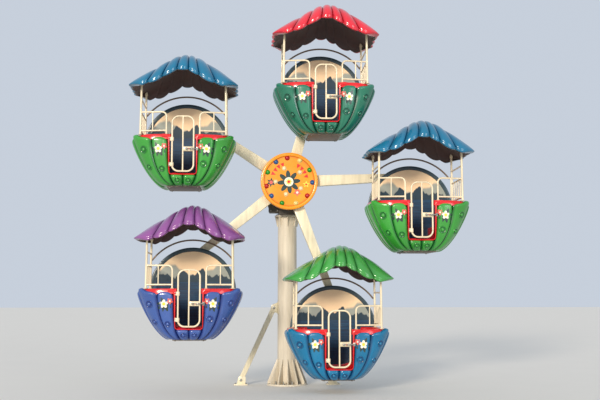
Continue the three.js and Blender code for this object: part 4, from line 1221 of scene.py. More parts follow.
def build_board():
    """The picture: the round board and its lower part that closes the cabin's back."""
    radius = PANEL_RADIUS - PANEL_RING_WIDTH + 0.002
    front = PANEL_FRONT_Y + PANEL_RECESS - 0.0002
    disc = [(0, front), (radius * 0.5, front), (radius, front)]
    shape = Shape().lathe(disc, (0, 0, -PANEL_DROP), "Y", 96)
    turns = np.radians(np.linspace(143, 217, 60))
    turn, depth = np.meshgrid(turns, np.linspace(0.01, depth_at(BOARD_FOOT_Z), 24))
    wall = shell_point(turn, depth, liner_inset(depth) + 0.004)
    wall[..., 1] += CABIN_Y
    return shape.sheet(wall)


def add_picture_uv(made, pivot):
    """Lays the picture out by place, so that both parts of the board show one picture."""
    uv = made.data.uv_layers.new(name="picture")
    size = 2 * PANEL_RADIUS
    for loop in made.data.loops:
        point = made.data.vertices[loop.vertex_index].co
        across = (point.x - pivot.x) / size + 0.5
        height = (point.z - pivot.z + PANEL_DROP) / size + 0.5
        uv.data[loop.index].uv = (across, height)


# The grooves between the petals, as turns from straight ahead, in degrees: at the rim, what each
# gains evenly down to the bottom, and what it gains late, as the shell curves in
MIDDLE_GROOVE = (0.0, 0.0, 0.0)
JAMB_GROOVE = (15.3, 13.0, -7.0)
FRONT_GROOVE = (32.0, 13.0, -20.0)
CORNER_GROOVE = (58.0, 6.0, 2.0)
SIDE_GROOVES = (
    (81.0, 2.0, 0.0), (101.0, 0.0, 0.0), (119.0, 0.0, 0.0), (137.0, 0.0, 0.0), (149.0, 0.0, 0.0),
)

# Petals on the cabin's right side, from the doorway to the back, and last the low one under the
# sill. The drops are how far the top lies lower at its left and right, and the crown scales how
# far the petal stands out.
FRONT_SQUARENESS = 3.4
SIDE_PETAL = {"drops": (0.024, 0.024), "squareness": 2.4}
PETALS = (
    {"left": JAMB_GROOVE, "right": FRONT_GROOVE, "drops": (0.105, 0.060), "squareness": FRONT_SQUARENESS},
    {"left": FRONT_GROOVE, "right": CORNER_GROOVE, "drops": (0.060, 0.020), "squareness": FRONT_SQUARENESS,
     "tuck": -0.018, "peak": 0.60, "flare": 0.034},
    {"left": CORNER_GROOVE, "right": SIDE_GROOVES[0], "drops": (0.020, 0.024), "squareness": 2.4,
     "crown": 1.2, "tuck": 0.010},
    {"left": SIDE_GROOVES[0], "right": SIDE_GROOVES[1], **SIDE_PETAL, "crown": 1.2, "tuck": 0.014},
    {"left": SIDE_GROOVES[1], "right": SIDE_GROOVES[2], **SIDE_PETAL, "crown": 1.2, "tuck": 0.014},
    {"left": SIDE_GROOVES[2], "right": SIDE_GROOVES[3], **SIDE_PETAL, "crown": 1.2, "tuck": 0.010},
    {"left": SIDE_GROOVES[3], "right": SIDE_GROOVES[4], **SIDE_PETAL, "crown": 0.7},
    {"left": MIDDLE_GROOVE, "right": JAMB_GROOVE, "drops": (0.034, 0.034), "squareness": 3.0,
     "top_z": SILL_TOP_Z, "columns": 16, "rows": 20},
)


def groove_turn(groove, depth):
    start, slow, late = groove
    return np.radians(start + slow * depth + late * depth**4)


def petal_lift(s, depth, squareness, crown=1.0, half_width=0.10):
    """How far a petal's surface stands out from the shell, across it and towards the bottom."""
    swell = np.maximum(0, 1 - np.abs(2 * s - 1) ** squareness) ** CROWN_FULLNESS
    from_edge = (1 - np.abs(2 * s - 1)) * half_width
    welt = WELT_HEIGHT * np.exp(-(((from_edge - WELT_INSET) / WELT_WIDTH) ** 2))
    fade = 1 - smoothstep(0.86, 1.0, depth)
    return (-GROOVE_DEPTH + ((GROOVE_DEPTH + CROWN_HEIGHT) * swell + welt) * crown) * fade


def petal_top(s, drops, peak):
    """How far a petal's top lies below its highest point: rounder and deeper beside the doorway."""
    away = np.where(s < peak, (peak - s) / peak, (s - peak) / (1 - peak))
    drop = np.where(s < peak, *drops)
    deep_drop = 0.08
    power = np.where(drop > deep_drop, 2.3, 3.0)
    return drop * (1 - (1 - away**power) ** (1 / power))


def petal_shade(s, depth, half_width, left_turn, right_turn):
    """The share of painted shade (the groove colour): full in the grooves, and little beside the doorway.
    """
    from_edge = (1 - np.abs(2 * s - 1)) * half_width
    shade = (1 - smoothstep(0.003, GROOVE_SHADE, from_edge)) * (1 - smoothstep(0.92, 1.0, depth))
    jamb = math.radians(JAMB_GROOVE[0] + 14)
    beside_door = (np.abs(left_turn) < jamb) & (s < 0.5)
    beside_door |= (np.abs(right_turn) < jamb) & (s > 0.5)
    return np.where(beside_door & (depth < depth_at(SILL_TOP_Z)), shade * 0.25, shade)


def add_petal(shape, left, right, drops, squareness, crown=1.0, tuck=0.0, peak=0.5, flare=0.0,
              top_z=PETAL_TOP_Z, columns=26, rows=44):
    """One petal between two grooves, from its rounded top to the shell's bottom. The tuck is how
    far its top leans in, the peak is where it is highest, as a share of its width, and the flare
    is how far its outer corner rises."""
    crowding = 1.35
    s = (1 - np.cos(math.pi * np.arange(columns + 1) / columns)) / 2
    start = depth_at(top_z - petal_top(s, drops, peak))
    row_share = (np.arange(rows + 1)[:, None] / rows) ** crowding
    depth = lerp(start, 1, row_share)
    s = np.broadcast_to(s, depth.shape)
    left_turn, right_turn = groove_turn(left, depth), groove_turn(right, depth)
    turn = lerp(left_turn, right_turn, s)
    edges = [shell_point(edge[:, :1], depth[:, :1]) for edge in (left_turn, right_turn)]
    half_width = np.linalg.norm(edges[1] - edges[0], axis=-1) / 2
    fall = bezier(HEIGHT_CURVE, start) - bezier(HEIGHT_CURVE, depth)
    rounding = np.sqrt(1 - (1 - np.clip(fall / PETAL_TOP_ROUNDING, 0, 1)) ** 2)
    lift = petal_lift(s, depth, squareness, crown, half_width)
    lift = -GROOVE_DEPTH + (lift + GROOVE_DEPTH) * rounding
    lift = lift - tuck * np.clip(1 - fall / TUCK_REACH, 0, 1) ** 2
    normal = shell_normal(turn, depth)
    points = shell_point(turn, depth) + normal * lift[..., None]
    corner = smoothstep(0.35, 0.8, 1 - s if flare < 0 else s)
    points[..., 2] += corner * np.clip(1 - fall / FLARE_REACH, 0, 1) ** 2 * abs(flare)
    hem = points[:1] - normal[:1] * HEM_DEPTH
    shade = petal_shade(s, depth, half_width, left_turn, right_turn)
    shape.sheet(np.concatenate([hem, points]), 0, np.concatenate([shade[:1], shade]).ravel())


def mirrored(petal):
    """The same petal on the cabin's other side."""
    other = dict(petal, drops=petal["drops"][::-1])
    other["left"] = tuple(-value for value in petal["right"])
    other["right"] = tuple(-value for value in petal["left"])
    other["peak"] = 1 - petal.get("peak", 0.5)
    other["flare"] = -petal.get("flare", 0.0)
    return other


def on_bowl(x, z, lift):
    """The point of the front petals' surface that shows at x and z."""
    depth = depth_at(z)
    ratio = min(abs(x) / float(bezier(WIDTH_CURVE, depth)), 0.999)
    turn = float(plan_turn(ratio))
    grooves = (MIDDLE_GROOVE, JAMB_GROOVE, FRONT_GROOVE, CORNER_GROOVE)
    edges = [float(groove_turn(groove, depth)) for groove in grooves]
    i = min(2, sum(turn > edge for edge in edges[1:]))
    s = (turn - edges[i]) / (edges[i + 1] - edges[i])
    out = float(petal_lift(np.array(s), depth, FRONT_SQUARENESS)) + lift
    side = np.array(math.copysign(turn, x))
    return tuple(shell_point(side, depth) + shell_normal(side, depth) * out)


def build_bowl():
    shape = Shape()
    for petal in PETALS:
        add_petal(shape, **petal)
        add_petal(shape, **mirrored(petal))
    last = SIDE_GROOVES[-1][0]
    turns = np.radians(np.linspace(last, 360 - last, 24))
    turn, depth = np.meshgrid(turns, np.linspace(depth_at(PETAL_TOP_Z - 0.024), 1, 16))
    shape.sheet(shell_point(turn, depth, GROOVE_DEPTH * 0.5))
    bottom = shell_point(around(72), np.array(1.0))
    shape.add(bottom, [tuple(range(72))])
    x, y, inset = BASE_PLATE_X, BASE_PLATE_Y, 0.03
    low = BOTTOM_Z - BASE_PLATE_THICKNESS
    # The base plate, in the darker enamel that paints shade on it
    shape.box((-x, -y, low), (x, y + 0.06, BOTTOM_Z + 0.006), 0.003, 1)
    for bolt_x in (inset - x, x - inset):
        for bolt_y in (inset - y, y + inset):
            shape.bolt((bolt_x, bolt_y, low), "-Z", 0.010, 2)
    return shape


# Bosses on the petals, as x, z and the ring's radius
BOSSES = (
    (-0.440, -0.548, 0.046), (-0.375, -0.742, 0.038), (-0.232, -0.768, 0.037),
    (0.462, -0.536, 0.042), (0.392, -0.722, 0.037), (0.232, -0.712, 0.042),
    (-0.060, -0.892, 0.036), (0.062, -0.892, 0.034),
)
# The ring's section, as shares of its radius and as heights in metres. The dome inside it and the dish,
# where the groove colour lies as painted shade, are shares of the radius too.
BOSS_RING = (
    (1.08, -0.006), (1.04, 0.0020), (0.99, 0.0058), (0.93, 0.0072), (0.86, 0.0058), (0.74, 0.0022),
    (0.60, 0.0010), (0.48, 0.0018),
)
BOSS_DOME = 0.48
BOSS_DISH = 0.70
BOSS_DISH_WIDTH = 0.22


def boss_directions(x, z):
    """Two directions along the petal at a place, and the one that stands square out of it."""
    step = 0.004
    side = np.subtract(on_bowl(x + step, z, 0), on_bowl(x - step, z, 0))
    up = np.subtract(on_bowl(x, z + step, 0), on_bowl(x, z - step, 0))
    out = np.cross(side, up)
    out /= np.linalg.norm(out)
    side /= np.linalg.norm(side)
    return side, np.cross(out, side), out


def build_bosses():
    """Each boss is a small dome in a dished ring, square to the petal under it."""
    shape = Shape()
    segments = 32
    turn = around(segments)
    for x, z, radius in BOSSES:
        side, up, out = boss_directions(x, z)
        dome = radius * BOSS_DOME
        profile = [(share * radius, height) for share, height in BOSS_RING]
        profile += [(dome * math.cos(a), 0.002 + dome * 0.80 * math.sin(a))
                    for a in np.linspace(0.15, math.pi / 2, 8)]
        reach, height = np.array(profile).T
        ring = np.outer(np.cos(turn), side) + np.outer(np.sin(turn), up)
        points = np.array(on_bowl(x, z, 0)) + reach[:, None, None] * ring + height[:, None, None] * out
        # Painted shade in the dish round the dome
        dish = np.exp(-(((reach / radius - BOSS_DISH) / BOSS_DISH_WIDTH) ** 2))
        dish_shade = np.clip(1.25 * dish, 0, 1)
        shape.sheet(points, 0, np.repeat(dish_shade, segments), round_columns=True)
    return shape


# Prints on the inner petals. Later layers lie over earlier ones.
PETAL_LAYERS = (0.0008, 0.0013, 0.0018)
LEAF_TURNS = (172, 205, 238, 285, 325, 5, 60)


def blossom(x, z, circle, width, height, start, side, layer, ink):
    """Five petals round a middle, mirrored where the side is -1."""
    figures = []
    for i in range(5):
        turn = math.radians(start + 72 * i)
        place = (x + side * circle * math.cos(turn), z + circle * math.sin(turn))
        figures.append((ellipse(*place, width, height, side * turn), layer, ink))
    return figures


def flower_print(side, x, z):
    """A white flower on dark leaves, with a small pink one beside it."""
    figures = []
    for degrees in LEAF_TURNS:
        turn = math.radians(degrees)
        place = (x + side * (0.012 + 0.050 * math.cos(turn)), z - 0.004 + 0.050 * math.sin(turn))
        figures.append((ellipse(*place, 0.038, 0.018, side * turn), 0, SLATE_INK))
    middle = x + side * 0.014
    figures += blossom(middle, z, 0.028, 0.021, 0.016, 90, side, 1, WHITE_INK)
    figures.append((dot(middle, z, 0.018), 2, YELLOW_INK))
    bud_x, bud_z = x - side * 0.052, z + 0.030
    figures += blossom(bud_x, bud_z, 0.018, 0.017, 0.012, 54, 1, 1, PINK_INK)
    figures.append((dot(bud_x, bud_z, 0.009), 2, WHITE_INK))
    return figures


def build_petal_prints():
    shape = Shape()
    for side, x, z in ((-1, -0.262, -0.545), (1, 0.254, -0.545)):
        for outline, layer, ink in flower_print(side, x, z):
            decal(shape, outline, on_bowl, PETAL_LAYERS[layer], ink)
    return shape


def doorway_turn(depth):
    """The turn at which the liner's wall meets the doorway's side."""
    width = bezier(WIDTH_CURVE, depth) - liner_inset(depth)
    return plan_turn(np.minimum((DOORWAY_HALF_WIDTH + 0.004) / width, 0.97))


def both_sides(edge):
    """An edge from the middle outwards, with its mirror image before it."""
    edge = np.array(edge)
    return np.concatenate([edge[:0:-1] * np.array([-1, 1]), edge])


def lip_inner_edge():
    """The doorway's own edge, from the middle of the sill to the end of the rim's strip."""
    side, top, foot, corner = DOORWAY_HALF_WIDTH, RIM_TOP_Z, LIP_FOOT, LIP_CORNER
    edge = [(0.0, SILL_Z), (side - foot, SILL_Z)]
    edge += arc(side - foot, SILL_Z + foot, foot, 270, 360, 7)[1:]
    edge += [(side, z) for z in np.linspace(SILL_Z + foot, top - corner, 12)[1:-1]]
    edge += arc(side + corner, top - corner, corner, 180, 90, 9) + [(LIP_END, top)]
    return both_sides(edge)


def lip_outer_edge():
    """The lip's edge on the petals, point for point with its inner edge."""
    side, foot, shoulder = DOORWAY_HALF_WIDTH, LIP_FOOT, LIP_SHOULDER
    low, high = side + LIP_LOW_WIDTH, side + LIP_HIGH_WIDTH
    strip_foot = RIM_TOP_Z - LIP_DROP
    edge = [(0.0, SILL_TOP_Z), (side - foot, SILL_TOP_Z)]
    edge += arc(side - foot, SILL_Z + foot, foot + LIP_LOW_WIDTH, 270, 360, 7)[1:]
    for z in np.linspace(SILL_Z + foot, strip_foot - shoulder, 12)[1:-1]:
        edge.append((lerp(low, high, (z - SILL_Z) / (RIM_TOP_Z - SILL_Z)), z))
    edge += arc(high + shoulder, strip_foot - shoulder, shoulder, 180, 90, 9)
    edge.append((LIP_END, strip_foot))
    return both_sides(edge)


# The lip's section: a distance from its inner edge, or a negative one from its outer edge, how far
# it lies behind the front, and its share of groove colour, which paints shade on the faces that turn back
# into the doorway
LIP_SECTION = (
    (0.0, 0.066, 1.0), (0.0, 0.006, 0.25), (0.0018, 0.0018, 0.0), (0.006, 0.0, 0.0),
    (-0.006, 0.0, 0.0), (-0.0018, 0.0018, 0.0), (-0.0001, 0.006, 0.2), (-0.0001, 0.066, 0.8),
)


def add_lip(shape):
    """The rounded red lip round the doorway, which ends as a strip under the rim on each side."""
    inner, outer = lip_inner_edge(), lip_outer_edge()
    z = inner[:, 1]
    front = np.interp(-z, -HEIGHTS, bezier(FRONT_CURVE, DEPTHS))
    front = np.where(z > RIM_Z, FRONT_CURVE[0], front) + LIP_STAND
    across = outer - inner
    across /= np.linalg.norm(across, axis=1)[:, None]
    sections = []
    for distance, behind, _ in LIP_SECTION:
        place = (inner if distance >= 0 else outer) + across * distance
        sections.append(np.column_stack([place[:, 0], behind - front, place[:, 1]]))
    # Painted shade on the lip's faces that turn back into the doorway
    shade = np.tile([share for _, _, share in LIP_SECTION], len(inner))
    shape.loft(np.stack(sections, 1), shade=shade)


def add_rim(shape):
    """The rim on each side of the doorway. From the front corners on it lies further in."""
    top, hem, width = RIM_TOP_Z, RIM_HEM_Z, RIM_FLANGE_WIDTH
    section = [(0.004, hem), (0.004, top - 0.012), (0.008, top - 0.004), (0.016, top),
               (width - 0.016, top), (width - 0.006, top - 0.004), (width, top - 0.012), (width, hem)]
    start, end = math.radians(JAMB_GROOVE[0] - 2), math.radians(146)
    for side in (-1, 1):
        turn = np.linspace(start, end, 60) * side
        further_in = 0.030 * smoothstep(math.radians(30), math.radians(55), np.abs(turn))
        rings = np.stack([shell_point(turn, np.array(0.0), inset + further_in) for inset, _ in section], 1)
        rings[:, :, 2] = np.array([z for _, z in section])
        shape.loft(rings)


def add_walls(shape):
    """The tub's wall from one side of the doorway to the other, the part under the sill, and the
    floor."""
    rise = 0.022
    share, depth = np.meshgrid(np.linspace(0, 1, 120), np.linspace(0.02, 1, 24))
    jamb = doorway_turn(depth)
    around_tub = lerp(jamb, 2 * math.pi - jamb, share)
    share, low_depth = np.meshgrid(np.linspace(-1, 1, 14), np.linspace(float(depth_at(SILL_Z)), 1, 10))
    under_sill = share * doorway_turn(low_depth)
    for turn, down in ((around_tub, depth), (under_sill, low_depth)):
        wall = shell_point(turn, down, liner_inset(down))
        wall[..., 2] += rise * down
        shape.sheet(wall)
    floor = shell_point(around(60), np.array(0.90), 0.050)
    floor[:, 2] = BOTTOM_Z + 0.030
    shape.add(floor, [tuple(range(60))])


def add_benches(shape):
    """A bench on each side of the footwell, with a rounded edge along its seat."""
    sides = 72
    levels = ((SEAT_TOP_Z, 0.012), (SEAT_TOP_Z - 0.003, 0.004), (SEAT_TOP_Z - 0.012, 0.0),
              (-0.74, 0.0), (-0.82, 0.0), (BENCH_FOOT_Z, 0.0))
    for side in (-1, 1):
        sections = []
        for z, back_off in levels:
            depth = depth_at(z)
            ring = shell_point(around(sides), np.full(sides, depth), liner_inset(depth) - 0.003)
            ring[:, 0] = side * np.maximum(ring[:, 0] * side, FOOTWELL_HALF_WIDTH + back_off)
            ring[:, 2] = z
            sections.append(ring)
        shape.loft(sections)


def add_hinges(shape):
    """A block with two screws and a knuckle round the door's tube, for each hinge."""
    half, plane = HINGE_HALF_HEIGHT, DOOR_PLANE
    inner, outer, edge = 0.0135, 0.0195, 0.002
    knuckle = [(inner, -half), (outer - 0.001, -half), (outer, edge - half), (outer, half - edge),
               (outer - 0.001, half), (inner, half), (inner, -half)]
    block_half = 0.017
    for z in HINGE_Z:
        low = (-DOORWAY_HALF_WIDTH - 0.006, plane - block_half, z - half)
        shape.box(low, (-DOOR_HALF_WIDTH - 0.002, plane + block_half, z + half), 0.003, 1)
        shape.lathe(knuckle, (-DOOR_HALF_WIDTH, plane, z), "Z", 28, 1)
        for screw_z in (z - 0.012, z + 0.012):
            shape.bolt((-DOORWAY_HALF_WIDTH - 0.001, LIP_FRONT - 0.001, screw_z), "-Y", 0.005, 2)


def add_strike(shape):
    """The plate on the lip that the slide bolt reaches."""
    x, half = DOORWAY_HALF_WIDTH + 0.004, LATCH_HALF_HEIGHT
    low = (x, LIP_FRONT - 0.004, LATCH_Z - half)
    shape.box(low, (x + 0.022, LIP_FRONT + 0.002, LATCH_Z + half), 0.001, 2)


def build_liner():
    """The red inside: a rounded rim, the walls, the mat, two benches and the doorway's lip."""
    shape = Shape()
    add_rim(shape)
    add_walls(shape)
    mat_x, mat_front, mat_back, mat_thickness = 0.190, -0.215, 0.240, 0.012
    low = (-mat_x, mat_front, FOOTWELL_FLOOR_Z)
    shape.box(low, (mat_x, mat_back, FOOTWELL_FLOOR_Z + mat_thickness), 0.004, 3)
    add_benches(shape)
    add_lip(shape)
    add_hinges(shape)
    add_strike(shape)
    return shape


def spine_drop(x):
    """How far the spine lies below its peak: a curve to each tip, and a little more at the shoulders."""
    left = x < CANOPY_PEAK_X
    away = np.abs(x - CANOPY_PEAK_X)
    length = np.where(left, CANOPY_TIP_X + CANOPY_PEAK_X, CANOPY_TIP_X - CANOPY_PEAK_X)
    shoulder = np.where(left, SHOULDER_DROP_LEFT, SHOULDER_DROP_RIGHT)
    shoulder = shoulder * smoothstep(SHOULDER_START, SHOULDER_END, away)
    return SPINE_DROP * (away / length) ** SPINE_POWER + shoulder


def edge_drop(x):
    return EDGE_DROP + EDGE_FALL * (1 - np.exp(-((x / EDGE_FALL_REACH) ** 2)))


def canopy_half_depth(x):
    share = (np.abs(x) / CANOPY_HALF_LENGTH) ** CANOPY_SQUARENESS
    return CANOPY_HALF_DEPTH * np.maximum(0.0, 1 - share) ** (1 / CANOPY_SQUARENESS)


def lobe_crown(lobe, within):
    """How full a lobe is across its width: nothing in the grooves, and still full at the tips."""
    away = np.abs(2 * within - 1)
    outer_half = ((lobe == 0) & (within < 0.5)) | ((lobe == LOBES - 1) & (within > 0.5))
    away = np.where(outer_half, away * OUTER_LOBE_SPREAD, away)
    return np.maximum(0, 1 - away**LOBE_SQUARENESS) ** LOBE_FULLNESS


def split_along(along):
    """The lobe's number and the share of its width."""
    lobe = np.clip(np.floor(along), 0, LOBES - 1).astype(int)
    return lobe, along - lobe


def tip_reach(along, across, puff):
    """How far the canopy's ends reach out or draw in, as their notches and rounded corners ask."""
    tip = np.maximum(np.clip(1 - along, 0, 1), np.clip(along - (LOBES - 1), 0, 1))
    notches = np.abs(np.sin(across * 2 * math.pi)) ** 0.6 - 0.3
    cut = TIP_CUT * np.abs(across) ** 8
    return np.sign(along - LOBES / 2) * tip**2 * (notches * TIP_NOTCH * (puff / LOBE_PUFF) - cut)


def canopy_surface(along, across, puff, inset):
    """A point of the canopy. Along counts lobes from the left tip, and across runs from -1 at the
    front edge over 0 on the spine to 1 at the back edge."""
    lobe, within = split_along(along)
    out = np.abs(across)
    spine_x = lerp(LOBE_SPINE_X[lobe], LOBE_SPINE_X[lobe + 1], within)
    edge_x = lerp(LOBE_EDGE_X[lobe], LOBE_EDGE_X[lobe + 1], within)
    crown = lobe_crown(lobe, within)
    swell = np.sin(math.pi * (0.12 + 0.42 * out)) * crown * puff
    swell = swell * (1 - smoothstep(0.93, 1.0, out) * 0.35)
    scallop = (crown - SCALLOP_LEVEL) * SCALLOP * out**4 * (puff / LOBE_PUFF)
    angle = np.minimum(out * CANOPY_SLOPE, CANOPY_SLOPE)
    rise = (1 - np.cos(angle)) / (1 - math.cos(CANOPY_SLOPE))
    reach = np.sin(angle) / math.sin(CANOPY_SLOPE) * (canopy_half_depth(edge_x) - inset)
    x = lerp(spine_x, edge_x, out**1.2) * (1 - inset / CANOPY_TIP_X) + tip_reach(along, across, puff)
    y = np.sign(across) * (reach + np.sin(angle) * (swell + scallop * 0.4))
    drop = lerp(spine_drop(spine_x), edge_drop(edge_x), rise)
    z = CANOPY_PEAK_Z - drop + np.cos(angle) * (swell - inset) - scallop * np.sin(angle)
    return np.stack([x, y + CANOPY_SHIFT, z], -1)


def border(points, inwards=0):
    """The points round a grid's border, or those so many steps further in from each side."""
    near, far = inwards, -1 - inwards
    return np.concatenate([points[near, :-1], points[:-1, far], points[far, :0:-1], points[:0:-1, near]])


def add_rolled_edge(shape, outer, inner):
    """Half a round tube all along the canopy's edge: in its colour above, with a little painted shade, and
    in the underside's dark colour below.
    """
    edge, seam = border(outer), border(inner)
    outwards = edge - border(outer, 1)
    outwards /= np.linalg.norm(outwards, axis=1)[:, None]
    radius = np.linalg.norm(edge - seam, axis=1)[:, None] / 2
    rolls = []
    for turn in np.linspace(0, math.pi, 7):
        across = (edge - seam) / 2 * math.cos(turn)
        rolls.append((edge + seam) / 2 + across + outwards * radius * 0.8 * math.sin(turn))
    shape.sheet(np.array(rolls[:5]), 0, 0.15, round_columns=True)
    shape.sheet(np.array(rolls[4:]), 1, round_columns=True)


def build_canopy():
    """Two skins of swelling lobes, joined all round by a rolled edge."""
    per_lobe, half = 14, 26
    share = (1 - np.cos(math.pi * np.arange(per_lobe) / per_lobe)) / 2
    along = np.concatenate([i + share for i in range(LOBES)] + [[LOBES]])
    away = np.sin(np.linspace(0, 1, half + 1) * math.pi / 2)
    across = np.concatenate([-away[::-1], away[1:]])
    across, along = np.meshgrid(across, along, indexing="ij")
    outer = canopy_surface(along, across, LOBE_PUFF, 0.0)
    inner = canopy_surface(along, across, LINING_PUFF, CANOPY_THICKNESS)
    # Painted shade in the creases between the lobes, weaker near the spine than down the sides
    creases = np.clip(1.02 - lobe_crown(*split_along(along)) * 1.15, 0, 1)
    shade = creases * (0.55 + 0.45 * np.clip(np.abs(across) * 2.5, 0, 1))
    shape = Shape()
    shape.sheet(outer, 0, shade.ravel())
    shape.sheet(inner, 1)
    add_rolled_edge(shape, outer, inner)
    return shape


def canopy_under(x, y):
    """The height of the canopy's underside over a place."""
    along, across = np.meshgrid(np.linspace(0, LOBES, 120), np.linspace(-1, 1, 60))
    points = canopy_surface(along, across, LINING_PUFF, CANOPY_THICKNESS).reshape(-1, 3)
    nearest = np.argmin((points[:, 0] - x) ** 2 + (points[:, 1] - y) ** 2)
    return float(points[nearest, 2])


def post_x(z):
    return lerp(POST_FOOT_X, POST_TOP_X, (z - RIM_TOP_Z) / (POST_TOP_Z - RIM_TOP_Z))


def at_post(side, y, z):
    """The point of a post's middle line at a height."""
    return (side * post_x(z), y, z)


def add_post(shape, side, y):
    """A post with a disc at its foot and a clamp sleeve under the canopy."""
    radius, under_canopy, overlap = POST_RADIUS, 0.2, 0.012
    top_z = canopy_under(side * post_x(under_canopy), y) + overlap
    shape.tube([at_post(side, y, RIM_TOP_Z), at_post(side, y, top_z)], radius)
    disc = [(0, 0.0005), (0.027, 0.0005), (0.028, 0.004), (0.020, 0.006), (radius, 0.012)]
    shape.lathe(disc, at_post(side, y, RIM_TOP_Z), "Z", 28)
    sleeve_radius = 0.0185
    sleeve = [(radius, -0.012), (sleeve_radius, -0.010), (sleeve_radius, 0.016), (radius, 0.018)]
    shape.lathe(sleeve, at_post(side, y, top_z - 0.030), "Z", 24)


def add_side_rails(shape, side):
    """Three bars from post to post, with upright pickets between the lower two."""
    for z in (RAIL_TOP_Z, RAIL_MID_Z, SIDE_BAR_Z):
        shape.tube([at_post(side, POST_FRONT, z), at_post(side, POST_BACK, z)], RAIL_RADIUS)
    for i in range(SIDE_PICKETS):
        y = lerp(POST_FRONT, POST_BACK, (i + 1) / (SIDE_PICKETS + 1))
        shape.tube([at_post(side, y, RAIL_MID_Z), at_post(side, y, RAIL_TOP_Z)], PICKET_RADIUS, 12)


def add_front_rail(shape, side):
    """The rail that bends down to the rim beside the door, its lower bar and one picket."""
    end_x, end_y = side * RAIL_END_X, RAIL_END_DEPTH
    corners = [at_post(side, POST_FRONT, RAIL_TOP_Z), (end_x, end_y, RAIL_TOP_Z), (end_x, end_y, RIM_TOP_Z)]
    shape.tube(bent(corners, RAIL_CORNER, 10), RAIL_RADIUS)
    disc = [(0, 0.0005), (0.021, 0.0005), (0.022, 0.004), (0.015, 0.006), (RAIL_RADIUS, 0.010)]
    shape.lathe(disc, (end_x, end_y, RIM_TOP_Z), "Z", 24)
    shape.tube([at_post(side, POST_FRONT, RAIL_MID_Z), (end_x, end_y, RAIL_MID_Z)], RAIL_RADIUS)
    share = (post_x(RAIL_MID_Z) - FRONT_PICKET_X) / (post_x(RAIL_MID_Z) - RAIL_END_X)
    x, y = side * FRONT_PICKET_X, lerp(POST_FRONT, end_y, share)
    shape.tube([(x, y, RAIL_MID_Z), (x, y, RAIL_TOP_Z)], PICKET_RADIUS, 12)


def add_arch(shape):
    """The arch over the panel, with a straight arm forward to each rear post."""
    end = math.degrees(math.acos(ARCH_END_X / ARCH_RADIUS))
    curve = arc(0, -PANEL_DROP, ARCH_RADIUS, 180 - end, end, 48)
    low = curve[0][1]
    route = [(x, ARCH_DEPTH, z) for x, z in curve]
    route = [(-ARCH_END_X, POST_BACK, low), *route, (ARCH_END_X, POST_BACK, low)]
    # Kind 1 is the arch's darker enamel, painted shade
    shape.tube(route, ARCH_TUBE_RADIUS, kind=1)


def build_frame():
    """Four posts, the rails with their pickets, the side bars and the arch at the back."""
    shape = Shape()
    for side in (-1, 1):
        for y in (POST_FRONT, POST_BACK):
            add_post(shape, side, y)
        add_side_rails(shape, side)
        add_front_rail(shape, side)
    add_arch(shape)
    return shape


def door_hoop():
    """The hoop's route: a rectangle with round corners."""
    x, corner = DOOR_HALF_WIDTH - DOOR_CORNER, DOOR_CORNER
    low, high = DOOR_BOTTOM_Z + corner, DOOR_TOP_Z - corner
    corners = ((-x, low, 180), (x, low, 270), (x, high, 0), (-x, high, 90))
    route = []
    for centre_x, centre_z, first in corners:
        route += [(a, DOOR_PLANE, b) for a, b in arc(centre_x, centre_z, corner, first, first + 90, 11)]
    return route


def add_latch(shape):
    """A slide bolt with its handle in two guides, on a plate between two short bars."""
    half, plate_front, bolt_y = 0.022, LATCH_PLATE_FRONT, LATCH_BOLT_Y
    for z in (LATCH_Z - LATCH_HALF_HEIGHT, LATCH_Z + LATCH_HALF_HEIGHT):
        shape.tube([(0, DOOR_PLANE, z), (DOOR_HALF_WIDTH, DOOR_PLANE, z)], 0.0075, 14)
    low = (0.006, plate_front, LATCH_Z - half)
    shape.box(low, (DOOR_HALF_WIDTH + 0.004, DOOR_PLANE - 0.004, LATCH_Z + half), 0.002)
    bolt_end = DOORWAY_HALF_WIDTH + 0.014
    shape.tube([(0.030, bolt_y, LATCH_Z), (bolt_end, bolt_y, LATCH_Z)], 0.0055, 14, kind=1)
    guide_x, guide_z = 0.008, 0.011
    for x in (0.040, 0.105):
        low = (x - guide_x, bolt_y - 0.009, LATCH_Z - guide_z)
        shape.box(low, (x + guide_x, plate_front + 0.001, LATCH_Z + guide_z), 0.002, 1)
    handle_x = 0.072
    handle = [(handle_x, bolt_y, LATCH_Z), (handle_x, bolt_y - 0.022, LATCH_Z - 0.004)]
    shape.tube(handle, 0.0050, 12, kind=2)


def build_door():
    """The tube hoop with its middle bar, and its latch."""
    shape = Shape()
    shape.tube(door_hoop(), DOOR_TUBE_RADIUS, closed=True, side=(0, 1, 0))
    shape.tube([(0, DOOR_PLANE, DOOR_BOTTOM_Z), (0, DOOR_PLANE, DOOR_TOP_Z)], DOOR_BAR_RADIUS)
    add_latch(shape)
    return shape


